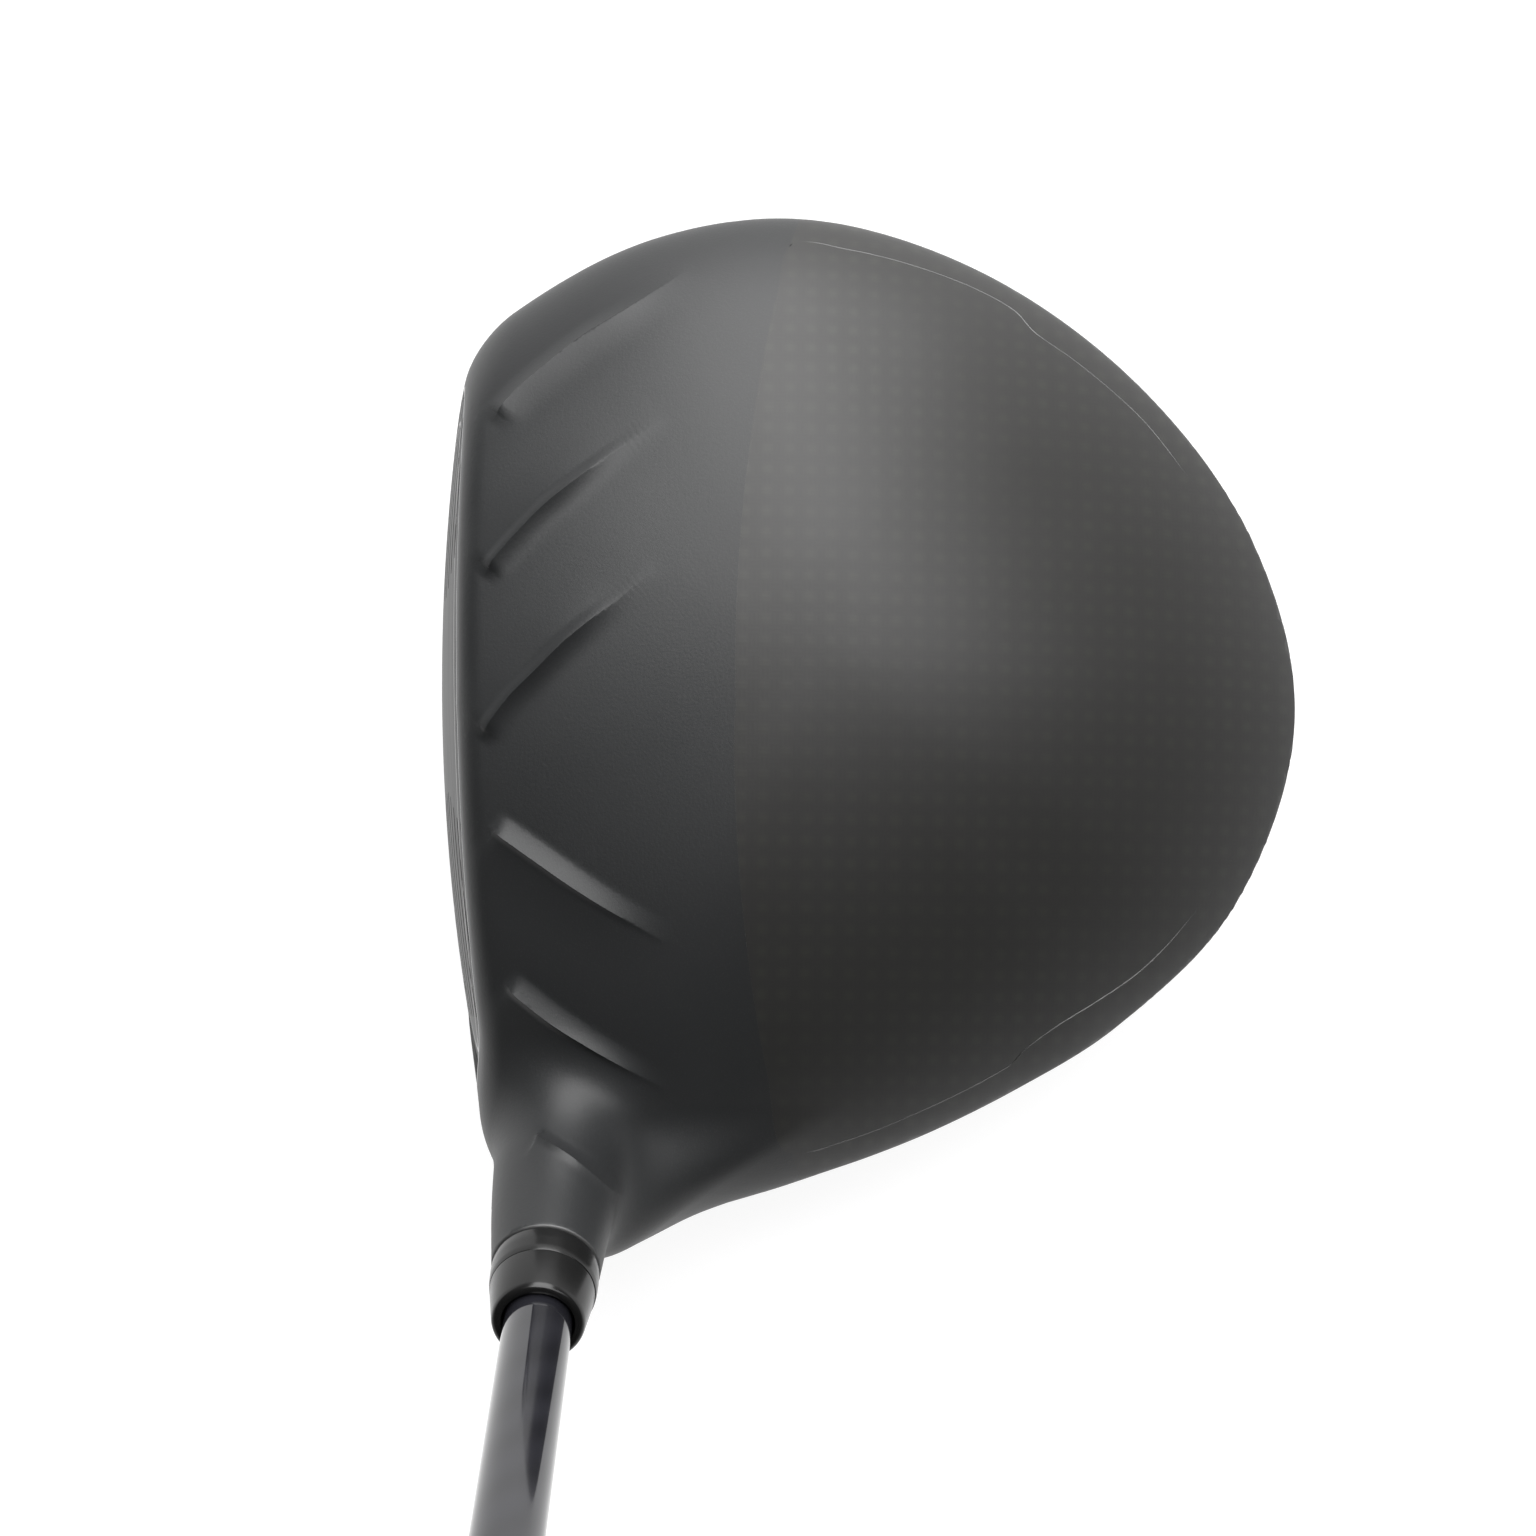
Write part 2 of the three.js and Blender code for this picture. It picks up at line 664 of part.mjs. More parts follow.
function rearWeight() {
  const block = solidOf(arcPrism(TRACK_INNER + GAP, WEIGHT_OUTER, WEIGHT_HALF_ANGLE, 2, WEIGHT_TOP_Z))
    .intersect(domeSolid(-WEIGHT_PROUD));
  const hole = solidOf(atWeightScrew(rod(2.2, 0, 30)));
  const pocket = solidOf(atWeightScrew(rod(4.1, 0, WEIGHT_TOP_Z - WEB_THICKNESS)));
  return geometryOf(block.subtract(hole).subtract(pocket));
}

function weightPad() {
  const low = TRACK_ROOF_Z - PAD_THICKNESS - GAP;
  const sheet = solidOf(arcPrism(TRACK_INNER + 0.8, WEIGHT_OUTER - 1.5, WEIGHT_HALF_ANGLE - 1, low, TRACK_ROOF_Z - GAP));
  return geometryOf(sheet.subtract(solidOf(atWeightScrew(rod(2.2, 0, 30)))));
}

function weightWasher() {
  const top = WEIGHT_TOP_Z - WEB_THICKNESS - GAP;
  return atWeightScrew(tube(2.2, 3.7, top - 0.5, top, 24));
}

function weightScrew() {
  const headTop = WEIGHT_TOP_Z - WEB_THICKNESS - 2 * GAP - 0.5;
  const blank = solidOf(atWeightScrew(lathe([
    [0, headTop - 2.4], [3.2, headTop - 2.4], [3.5, headTop - 2.1], [3.5, headTop], [1.9, headTop],
    [1.9, NUT_TOP_Z + 0.2], [0, NUT_TOP_Z + 0.2],
  ], 24)));
  const recess = solidOf(atWeightScrew(lobedRecess(1.9, headTop - 4, headTop - 1)));
  return geometryOf(blank.subtract(recess));
}

function weightNut() {
  const low = TRACK_ROOF_Z + TRACK_WALL + GAP;
  const block = solidOf(arcPrism(WEIGHT_SCREW_R - 3.4, WEIGHT_SCREW_R + 2.8, 6, low, NUT_TOP_Z, 6));
  return geometryOf(block.subtract(solidOf(atWeightScrew(rod(2.2, 0, 30)))));
}

// ---------------------------------------------------------------- materials and assembly

function material(color, roughness, metalness) {
  return new THREE.MeshStandardMaterial({ color, roughness, metalness });
}

function named(name, geometry, look) {
  const mesh = new THREE.Mesh(geometry, look);
  mesh.name = name;
  return mesh;
}

const LOOKS = {
  headPaint: material(0x3b3d40, 0.42, 0.3),
  faceMetal: material(0x8f9296, 0.35, 0.9),
  carbon: material(0x34332f, 0.45, 0.1),
  darkMetal: material(0x1d1e20, 0.35, 0.7),
  steel: material(0x9b9da0, 0.3, 1),
  tungsten: material(0x55585c, 0.4, 0.8),
  blackPlastic: material(0x101112, 0.35, 0),
  shaftPaint: material(0x0d0e10, 0.15, 0),
  tape: material(0xd8d2c0, 0.8, 0),
  gripRubber: material(0x17181a, 0.85, 0),
  badge: material(0x6d7074, 0.35, 0.8),
};

function headGroup() {
  const head = new THREE.Group();
  head.name = 'head';
  head.add(named('body_casting', bodyCasting(), LOOKS.headPaint));
  head.add(named('face_plate', facePlate(), LOOKS.faceMetal));
  head.add(named('crown_panel', crownPanel(), LOOKS.carbon));
  head.add(named('sole_badge', soleBadge(), LOOKS.badge));
  head.add(named('hosel_screw', hoselScrew(), LOOKS.steel));
  head.add(named('screw_washer', screwWasher(), LOOKS.steel));
  head.add(named('screw_retainer', screwRetainer(), LOOKS.blackPlastic));
  return head;
}

function weightGroup() {
  const weight = new THREE.Group();
  weight.name = 'weight_set';
  weight.add(named('rear_weight', rearWeight(), LOOKS.tungsten));
  weight.add(named('weight_pad', weightPad(), LOOKS.blackPlastic));
  weight.add(named('weight_washer', weightWasher(), LOOKS.steel));
  weight.add(named('weight_screw', weightScrew(), LOOKS.steel));
  weight.add(named('weight_nut', weightNut(), LOOKS.steel));
  return weight;
}

function shaftGroup() {
  const assembly = new THREE.Group();
  assembly.name = 'shaft_assembly';
  assembly.add(named('adapter_sleeve', adapterSleeve(), LOOKS.darkMetal));
  assembly.add(named('ferrule', ferrule(), LOOKS.blackPlastic));
  assembly.add(named('shaft', shaft(), LOOKS.shaftPaint));
  assembly.add(named('tip_plug', tipPlug(), LOOKS.blackPlastic));
  assembly.add(named('grip_tape', gripTape(), LOOKS.tape));
  assembly.add(named('grip', grip(), LOOKS.gripRubber));
  assembly.add(named('grip_end_cap', gripEndCap(), LOOKS.gripRubber));
  return assembly;
}

// Point on the shaft axis, in head positions.
function shaftPoint(station) {
  const marker = new THREE.BufferGeometry();
  marker.setAttribute('position', new THREE.Float32BufferAttribute([0, 0, station], 3));
  placeOnShaft(marker);
  return new THREE.Vector3().fromBufferAttribute(marker.getAttribute('position'), 0);
}

const club = new THREE.Group();
club.name = 'golf_driver';
club.add(headGroup());
club.add(weightGroup());
club.add(named('setting_ring', settingRing(), LOOKS.darkMetal));
club.add(shaftGroup());
club.position.copy(shaftPoint(GRIP_POINT)).negate();

export default club;
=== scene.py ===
import itertools
import json
import math

import bpy
import numpy as np
from mathutils import Matrix, Vector


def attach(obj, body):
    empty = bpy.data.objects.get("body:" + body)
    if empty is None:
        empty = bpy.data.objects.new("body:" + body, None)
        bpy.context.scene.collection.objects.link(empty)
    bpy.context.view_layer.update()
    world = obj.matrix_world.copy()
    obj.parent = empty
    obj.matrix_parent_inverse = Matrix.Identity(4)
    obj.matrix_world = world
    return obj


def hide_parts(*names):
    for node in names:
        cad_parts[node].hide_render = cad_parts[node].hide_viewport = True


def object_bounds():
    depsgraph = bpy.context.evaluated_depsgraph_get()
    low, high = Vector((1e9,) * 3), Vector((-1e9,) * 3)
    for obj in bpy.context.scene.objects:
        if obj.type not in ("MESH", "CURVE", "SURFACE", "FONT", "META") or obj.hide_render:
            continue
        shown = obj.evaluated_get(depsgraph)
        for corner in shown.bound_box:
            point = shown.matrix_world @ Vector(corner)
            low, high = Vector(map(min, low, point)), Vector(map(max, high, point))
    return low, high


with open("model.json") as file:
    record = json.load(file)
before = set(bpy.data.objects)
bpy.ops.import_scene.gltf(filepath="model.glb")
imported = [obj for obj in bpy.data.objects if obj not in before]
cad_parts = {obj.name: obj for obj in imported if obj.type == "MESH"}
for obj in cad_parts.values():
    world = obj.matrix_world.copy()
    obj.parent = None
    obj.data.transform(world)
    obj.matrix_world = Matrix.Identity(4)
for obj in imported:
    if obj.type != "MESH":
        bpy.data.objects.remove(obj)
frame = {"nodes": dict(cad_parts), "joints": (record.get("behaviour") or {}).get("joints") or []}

cad_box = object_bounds()

# --- head surface, in millimetres
# Head positions are measured from the ground below the face, as in the CAD part.
DOME_CENTRE = (5.0, 52.0)
OUTLINE = np.array([
    (0, -22), (26, -21), (50, -9.6), (66.4, 3.2), (75.8, 14.6), (78.2, 24), (76.6, 35), (75.4, 47.5),
    (70.1, 63.8), (62, 80.5), (53.2, 94.4), (36.2, 110.9), (10, 119.4), (-15, 113.6), (-37, 97.5),
    (-53.2, 74.6), (-60.2, 50), (-57.2, 29), (-47, 10.2), (-27, -11)], float)
EQUATOR_FRONT_Z = 33.0
EQUATOR_FALL = 0.085
CROWN_RISE = 29.5
LOFT = math.radians(9.5)
FACE_CENTRE = (8.0, 28.0)
BULGE_RADIUS = 305.0
ROLL_RADIUS = 330.0
LIE = math.radians(58.5)
HOSEL_GROUND = np.array([44.0, 17.9, 0.0])
HOSEL_AXIS = np.array([math.cos(LIE), 0.0, math.sin(LIE)])
HOSEL = (HOSEL_GROUND, HOSEL_AXIS)
HOSEL_RADIUS = 6.95
HOSEL_TOP = 76.6
BARREL_START = 31.0
BLEND_FRONT = 9.0
FLARE_FRONT = 0.105
FLARE_REAR = 0.07
FLARE_LENGTH_FRONT = 20.0
FLARE_LENGTH_REAR = 40.0
BLEND_REAR = 30.0
FACE_ROUND = 2.6


def closed_spline(points, count):
    """Points along a closed centripetal Catmull-Rom curve."""
    total = len(points)
    out = []
    for i in range(count):
        t = i / count * total
        j = int(t)
        w = t - j
        p0, p1, p2, p3 = (points[(j + k) % total] for k in (-1, 0, 1, 2))
        d0, d1, d2 = (math.sqrt(np.linalg.norm(b - a)) for a, b in ((p0, p1), (p1, p2), (p2, p3)))
        t1 = ((p1 - p0) / d0 - (p2 - p0) / (d0 + d1) + (p2 - p1) / d1) * d1
        t2 = ((p2 - p1) / d1 - (p3 - p1) / (d1 + d2) + (p3 - p2) / d2) * d1
        cubic = 2 * p1 - 2 * p2 + t1 + t2
        square = -3 * p1 + 3 * p2 - 2 * t1 - t2
        out.append(p1 + t1 * w + square * w * w + cubic * w ** 3)
    return np.array(out)


_rim = closed_spline(OUTLINE, 1440) - DOME_CENTRE
_angle = np.arctan2(_rim[:, 1], _rim[:, 0])
_order = np.argsort(_angle)
_angle = _angle[_order]
_reach = np.hypot(_rim[:, 0], _rim[:, 1])[_order]
RIM_ANGLE = np.concatenate([_angle - 2 * math.pi, _angle, _angle + 2 * math.pi])
RIM_REACH = np.tile(_reach, 3)


def plan_polar(x, y):
    """Distance from the dome centre, outline distance in that direction, and how far forward it points."""
    dx = x - DOME_CENTRE[0]
    dy = y - DOME_CENTRE[1]
    d = np.hypot(dx, dy) + 1e-9
    return d, np.interp(np.arctan2(dy, dx), RIM_ANGLE, RIM_REACH), dy / d


def equator_z(y):
    return EQUATOR_FRONT_Z - EQUATOR_FALL * y


def above_equator(p):
    return p[..., 2] - equator_z(p[..., 1])


def keel_z(x, y):
    lengthwise = np.where(y > 35, 14 * ((y - 35) / 83) ** 2, 2 * ((y - 35) / 60) ** 2)
    return lengthwise + 0.0015 * (x - DOME_CENTRE[0]) ** 2


def crown_power(forward):
    return 0.7 + 0.18 * forward + 0.04 * forward ** 2


def sole_power(forward):
    return 0.55 + 0.12 * forward - 0.18 * forward ** 2


def dome_level(x, y, z):
    d, reach, forward = plan_polar(x, y)
    up = z - equator_z(y)
    low = np.maximum(equator_z(y) - keel_z(x, y), 3.0)
    h = np.abs(up) / np.where(up > 0, CROWN_RISE, low)
    power = np.where(up > 0, crown_power(forward), sole_power(forward))
    return np.power(h + 1e-9, 1 / power) + (d / reach) ** 2 - 1


def dome_distance(p):
    """Rough distance from the dome's skin in millimetres, negative inside."""
    x, y, z = p[..., 0], p[..., 1], p[..., 2]
    step = 0.02
    level = dome_level(x, y, z)
    gx = (dome_level(x + step, y, z) - level) / step
    gy = (dome_level(x, y + step, z) - level) / step
    gz = (dome_level(x, y, z + step) - level) / step
    return level / np.maximum(np.sqrt(gx * gx + gy * gy + gz * gz), 0.016)


def face_y(x, z):
    rise = z - FACE_CENTRE[1]
    across = x - FACE_CENTRE[0]
    squint = 0.027 * (x - 24) - 0.6
    return rise * math.tan(LOFT) + across ** 2 / (2 * BULGE_RADIUS) + rise ** 2 / (2 * ROLL_RADIUS) + squint


def face_distance(p):
    """Distance in front of the face surface, negative behind it."""
    return (face_y(p[..., 0], p[..., 2]) - p[..., 1]) * math.cos(LOFT)


def hosel_coordinates(p):
    q = p - HOSEL_GROUND
    along = q @ HOSEL_AXIS
    radial = np.linalg.norm(q - along[..., None] * HOSEL_AXIS, axis=-1)
    return along, radial


def unit(v):
    return v / np.maximum(np.linalg.norm(v, axis=-1), 1e-12)[..., None]


def smooth_max(a, b, k):
    h = np.clip(0.5 + 0.5 * (a - b) / k, 0, 1)
    return b + (a - b) * h + k * h * (1 - h)


def smooth_min(a, b, k):
    return -smooth_max(-a, -b, k)


def smooth_step(low, high, x):
    t = np.clip((x - low) / (high - low), 0, 1)
    return t * t * (3 - 2 * t)


# --- numpy mesh helpers
def triples(*columns):
    return np.stack(columns, -1).reshape(-1, 3)


def quad_faces(a, b, c, d):
    """Two triangles for each quad of point numbers, without those that have no area."""
    faces = np.concatenate([triples(a, b, c), triples(a, c, d)])
    return faces[(faces != np.roll(faces, 1, axis=1)).all(axis=1)]


def tube_faces(rings):
    """Triangles between neighbouring rows of point numbers, each row closed in itself."""
    low, high = rings[:-1], rings[1:]
    return quad_faces(low, np.roll(low, -1, axis=1), np.roll(high, -1, axis=1), high)


def surface_net(field, low, high, pitch):
    """Closed triangle skin of field < 0, with points near the zero level."""
    axes = [np.arange(low[k], high[k] + pitch, pitch) for k in range(3)]
    shape = tuple(len(a) for a in axes)
    values = np.empty(shape)
    for i in range(0, shape[0], 8):
        block = np.stack(np.meshgrid(axes[0][i:i + 8], axes[1], axes[2], indexing="ij"), axis=-1)
        values[i:i + 8] = field(block)
    inside = values < 0
    corner_offsets = list(itertools.product((0, 1), repeat=3))
    cells = tuple(n - 1 for n in shape)
    total = np.zeros(cells, dtype=np.int8)
    for a, b, c in corner_offsets:
        total += inside[a:a + cells[0], b:b + cells[1], c:c + cells[2]]
    mixed = (total > 0) & (total < 8)
    where = np.argwhere(mixed)
    index = np.full(cells, -1, dtype=np.int64)
    index[mixed] = np.arange(len(where))
    corner = {o: values[tuple((where + o).T)] for o in corner_offsets}
    centre = np.zeros((len(where), 3))
    count = np.zeros(len(where))
    for axis, u, v in itertools.product(range(3), (0, 1), (0, 1)):
        start = [u, v]
        start.insert(axis, 0)
        end = [u, v]
        end.insert(axis, 1)
        a = corner[tuple(start)]
        b = corner[tuple(end)]
        crossing = (a < 0) != (b < 0)
        t = np.where(crossing, a / np.where(crossing, a - b, 1), 0)
        centre += (np.array(start, float) + np.outer(t, np.array(end) - start)) * crossing[:, None]
        count += crossing
    points = (where + centre / count[:, None]) * pitch + np.array([a[0] for a in axes])
    quads = []
    for axis in range(3):
        others = [(axis + 1) % 3, (axis + 2) % 3]
        near = [slice(1, -1)] * 3
        far = list(near)
        near[axis] = slice(0, -1)
        far[axis] = slice(1, None)
        a = inside[tuple(near)]
        b = inside[tuple(far)]
        for first, second, flip in ((a, b, False), (b, a, True)):
            edge = np.argwhere(first & ~second)
            ring = []
            for shift in ((0, 0), (1, 0), (1, 1), (0, 1)):
                cell = edge.copy()
                cell[:, others] += shift
                ring.append(index[tuple(cell.T)])
            ring = np.stack(ring, axis=1)
            quads.append(ring[:, ::-1] if flip else ring)
    quads = np.concatenate(quads)
    diagonal = (np.linalg.norm(points[quads[:, 0]] - points[quads[:, 2]], axis=1)
                < np.linalg.norm(points[quads[:, 1]] - points[quads[:, 3]], axis=1))
    one = quads[diagonal]
    two = quads[~diagonal]
    halves = [one[:, [0, 1, 2]], one[:, [0, 2, 3]], two[:, [0, 1, 3]], two[:, [1, 2, 3]]]
    return points, np.concatenate(halves)


def gradient(field, points, step=0.01):
    value = field(points)
    slopes = []
    for axis in range(3):
        moved = points.copy()
        moved[:, axis] += step
        slopes.append((field(moved) - value) / step)
    return value, np.stack(slopes, axis=1)


def settle(field, points, rounds=3, reach=0.8):
    """Moves points along the field's slope onto its zero level."""
    for _ in range(rounds):
        value, slope = gradient(field, points)
        step = slope * (value / np.maximum((slope ** 2).sum(axis=1), 0.02))[:, None]
        size = np.linalg.norm(step, axis=1)
        points = points - step * np.minimum(1, reach / np.maximum(size, 1e-9))[:, None]
    return points


def directed_sides(faces):
    return np.concatenate([faces[:, [0, 1]], faces[:, [1, 2]], faces[:, [2, 0]]])


def unique_edges(faces):
    sides = np.sort(directed_sides(faces), axis=1)
    keys, inverse = np.unique(sides, axis=0, return_inverse=True)
    return keys, inverse.reshape(3, -1).T


def split_edges(faces, cut, new_index):
    """Splits faces whose sides are cut. cut and new_index have one column for each side."""
    out = [faces[~cut.any(axis=1)]]
    count = cut.sum(axis=1)
    for k in range(3):
        a, b, c = (faces[:, (k + j) % 3] for j in range(3))
        m = new_index[:, k]
        n = new_index[:, (k + 1) % 3]
        one = (count == 1) & cut[:, k]
        two = (count == 2) & ~cut[:, (k + 2) % 3]
        out += [triples(a, m, c)[one], triples(m, b, c)[one]]
        out += [triples(m, b, n)[two], triples(a, m, n)[two], triples(a, n, c)[two]]
    three = count == 3
    a, b, c = faces[three].T
    m, n, o = new_index[three].T
    return np.concatenate(out + [triples(a, m, o), triples(m, b, n), triples(o, n, c), triples(m, n, o)])


def refine(points, faces, wanted_length):
    """Halves every side that is longer than wanted_length allows at its middle."""
    keys, side = unique_edges(faces)
    a, b = points[keys.T]
    middle = (a + b) / 2
    long = np.linalg.norm(a - b, axis=1) > wanted_length(middle)
    new = np.full(len(keys), -1)
    new[long] = len(points) + np.arange(long.sum())
    return np.concatenate([points, middle[long]]), split_edges(faces, long[side], new[side])


def cut_along(points, faces, level, snap=0.12):
    """Adds the zero line of level(points) to the mesh as edges, so that no triangle crosses it.

    A point nearer to the line than snap times its edge moves onto the line."""
    keys, side = unique_edges(faces)
    value = level(points)
    a, b = keys[(value[keys[:, 0]] < 0) != (value[keys[:, 1]] < 0)].T
    t = value[a] / (value[a] - value[b])
    points = points.copy()
    for near, far, w in ((a, b, t), (b, a, 1 - t)):
        close = w < snap
        snapped = near[close]
        points[snapped] += (points[far[close]] - points[snapped]) * w[close][:, None]
        value[snapped] = 0.0
    crossing = value[keys[:, 0]] * value[keys[:, 1]] < 0
    a, b = keys[crossing].T
    added = points[a] + (points[b] - points[a]) * (value[a] / (value[a] - value[b]))[:, None]
    new = np.full(len(keys), -1)
    new[crossing] = len(points) + np.arange(len(added))
    return np.concatenate([points, added]), split_edges(faces, crossing[side], new[side])


def compact(points, faces):
    used, inverse = np.unique(faces, return_inverse=True)
    return points[used], inverse.reshape(-1, 3)


def open_sides(faces):
    """Directed sides that only one triangle has."""
    sides = directed_sides(faces)
    _, inverse, count = np.unique(np.sort(sides, axis=1), axis=0, return_inverse=True, return_counts=True)
    return sides[count[inverse.reshape(-1)] == 1]


def thicken(points, faces, normals, depth):
    """Closed solid between a sheet and a copy of it set back along its normals."""
    count = len(points)
    a, b = open_sides(faces).T
    walls = quad_faces(b, a, a + count, b + count)
    return (np.concatenate([points, points - normals * depth]),
            np.concatenate([faces, faces[:, ::-1] + count, walls]))


def point_normals(points, faces):
    a, b, c = (points[faces[:, k]] for k in range(3))
    face = np.cross(b - a, c - a)
    normal = np.zeros_like(points)
    for k in range(3):
        np.add.at(normal, faces[:, k], face)
    return unit(normal)


def head_surface(p):
    """Base head field in millimetres, negative inside: dome, face and hosel barrel, without the ridges."""
    x, y = p[..., 0], p[..., 1]
    edge_round = FACE_ROUND + 3 * smooth_step(26, 44, -x)
    shell = smooth_max(dome_distance(p), face_distance(p), edge_round)
    along, radial = hosel_coordinates(p)
    front = smooth_step(-6, 10, HOSEL_GROUND[1] - y)
    flare_length = FLARE_LENGTH_REAR + (FLARE_LENGTH_FRONT - FLARE_LENGTH_REAR) * front
    flare = smooth_min(HOSEL_TOP - along, flare_length, 14)
    barrel_radius = HOSEL_RADIUS + (FLARE_REAR + (FLARE_FRONT - FLARE_REAR) * front) * np.maximum(flare, 0)
    barrel = np.maximum(np.maximum(radial - barrel_radius, along - HOSEL_TOP - 6), BARREL_START - along)
    across = x - HOSEL_GROUND[0] - p[..., 2] * HOSEL_AXIS[0] / HOSEL_AXIS[2]
    outward = 0.5 * (y - HOSEL_GROUND[1]) + 0.85 * across
    blend = BLEND_FRONT + (BLEND_REAR - BLEND_FRONT) * smooth_step(0, 17, outward)
    return smooth_min(shell, barrel, blend)


# Ridges on the front of the crown: crest in plan from front to rear, the side of the steep flank
# (1 for the heel side), step height, widths of the steep flank, of the gentle one and of the lip on it,
# how hollow the steep flank is, the lip's share of the height, where the ridge starts to fade and how
# rounded the lip is at the crest.
RIDGES = (
    (((-28.6, 8.2), (-32.3, 11.3), (-36.3, 15.7), (-39.5, 19.6), (-43.0, 24.6), (-46.1, 28.5), (-50.0, 33.3)),
     -1, 0.8, 2.6, 4.5, 1.5, 1.6, 0.0, 0.5, 0.0),
    (((-6.8, 8.1), (-10.2, 10.9), (-14.4, 14.8), (-17.4, 18.2), (-20.2, 21.6), (-23.3, 25.4), (-27.0, 30.5)),
     1, 1.3, 3.2, 8.0, 1.8, 2.4, 0.34, 0.4, 1.0),
    (((14.8, 8.0), (10.3, 11.4), (6.4, 15.3), (3.0, 18.7), (0.1, 22.1), (-2.6, 25.5), (-6.6, 30.0)),
     1, 1.4, 3.4, 8.0, 1.8, 2.4, 0.34, 0.4, 1.0),
    (((27.6, 9.2), (31.6, 15.0), (34.9, 19.8), (37.9, 24.5), (40.4, 28.8), (42.4, 32.2)),
     -1, 1.3, 2.6, 8.0, 1.0, 1.35, 0.34, 0.25, 0.0),
    (((48.3, 11.0), (52.4, 16.3), (55.6, 21.1), (58.2, 25.4), (60.3, 29.1), (62.6, 33.4)),
     -1, 1.2, 2.4, 7.0, 1.0, 1.35, 0.34, 0.25, 0.0),
    (((68.0, 15.6), (68.7, 16.8), (70.9, 20.6), (73.5, 24.1), (76.4, 27.0)),
     -1, 0.8, 1.6, 4.0, 0.8, 1.6, 0.34, 0.3, 0.0),
)


def open_spline(points, count):
    """Evenly parameterised smooth line through the given plan points."""
    points = np.array(points, float)
    t = np.linspace(0, len(points) - 1, count)
    i = np.minimum(t.astype(int), len(points) - 2)
    w = (t - i)[:, None]
    before = points[np.maximum(i - 1, 0)]
    a, b = points[i], points[i + 1]
    after = points[np.minimum(i + 2, len(points) - 1)]
    return 0.5 * (2 * a + (b - before) * w + (2 * before - 5 * a + 4 * b - after) * w ** 2
                  + (3 * a - before - 3 * b + after) * w ** 3)


RIDGE_LINES = [open_spline(ridge[0], 48) for ridge in RIDGES]


def line_coordinates(q, line):
    """Nearest distance to a plan line, signed side and fraction along it."""
    gap = q[:, None, :] - line[None, :, :]
    distance = np.hypot(gap[..., 0], gap[..., 1])
    i = distance.argmin(axis=1)
    j = np.clip(i, 1, len(line) - 2)
    tangent = unit(line[j + 1] - line[j - 1])
    offset = q - line[i]
    side = offset[:, 0] * tangent[:, 1] - offset[:, 1] * tangent[:, 0]
    run = (offset * tangent).sum(axis=1)
    spacing = np.linalg.norm(line[1:] - line[:-1], axis=1).mean()
    return distance[np.arange(len(q)), i], side, (i + run / spacing) / (len(line) - 1)


def ridge_height(p):
    """How far the ridges raise or lower the crown at each point, in millimetres."""
    height = np.zeros(len(p))
    zone = np.where((p[:, 1] < 48) & (p[:, 1] > 3) & (above_equator(p) > 1))[0]
    for ridge, line in zip(RIDGES, RIDGE_LINES):
        steep_side, step, steep, gentle, lip, hollow, share, fade, rounded = ridge[1:]
        _, side, t = line_coordinates(p[zone, :2], line)
        s = side * steep_side
        lengthwise = smooth_step(-0.05, 0.07, t) * (1 - smooth_step(fade, 1.06, t))
        w = np.clip(1 + s / lip, 0, 1)
        outer = (1 - share) * np.clip(1 + s / gentle, 0, 1) ** 2 + share * w * w * (1 + 2 * rounded * (1 - w))
        inner = np.clip(1 - s / steep, 0, 1) ** hollow
        height[zone] += step * np.where(s < 0, outer, inner) * lengthwise
    return height


def crest_level(line):
    """Signed distance from a ridge's crest line in plan, for points of the crown near it."""
    def level(p):
        value = np.full(len(p), 5.0)
        inside = (p[:, :2] > line.min(axis=0) - 3) & (p[:, :2] < line.max(axis=0) + 3)
        near = np.where(inside.all(axis=1) & (p[:, 2] > 35))[0]
        _, side, t = line_coordinates(p[near, :2], line)
        value[near] = np.where((t > -0.1) & (t < 1.1), side, 5.0)
        return value
    return level


COARSE_EDGE = 2.1
RIDGE_EDGE = 1.1
CREST_EDGE = 0.36


def ridge_mesh_size(middle):
    """Longest side that a triangle may have at each point."""
    size = np.full(len(middle), COARSE_EDGE)
    zone = np.where((middle[:, 1] < 46) & (middle[:, 1] > 3) & (above_equator(middle) > 0))[0]
    q = middle[zone, :2]
    best = size[zone]
    for ridge, line in zip(RIDGES, RIDGE_LINES):
        distance, side, t = line_coordinates(q, line)
        s = side * ridge[1]
        near = (s > -1.9) & (s < 2.4) & (t > -0.09) & (t < 0.95)
        best = np.where(near, CREST_EDGE, best)
        best = np.where((distance < 11) & ~near, np.minimum(best, RIDGE_EDGE), best)
    size[zone] = best
    return size


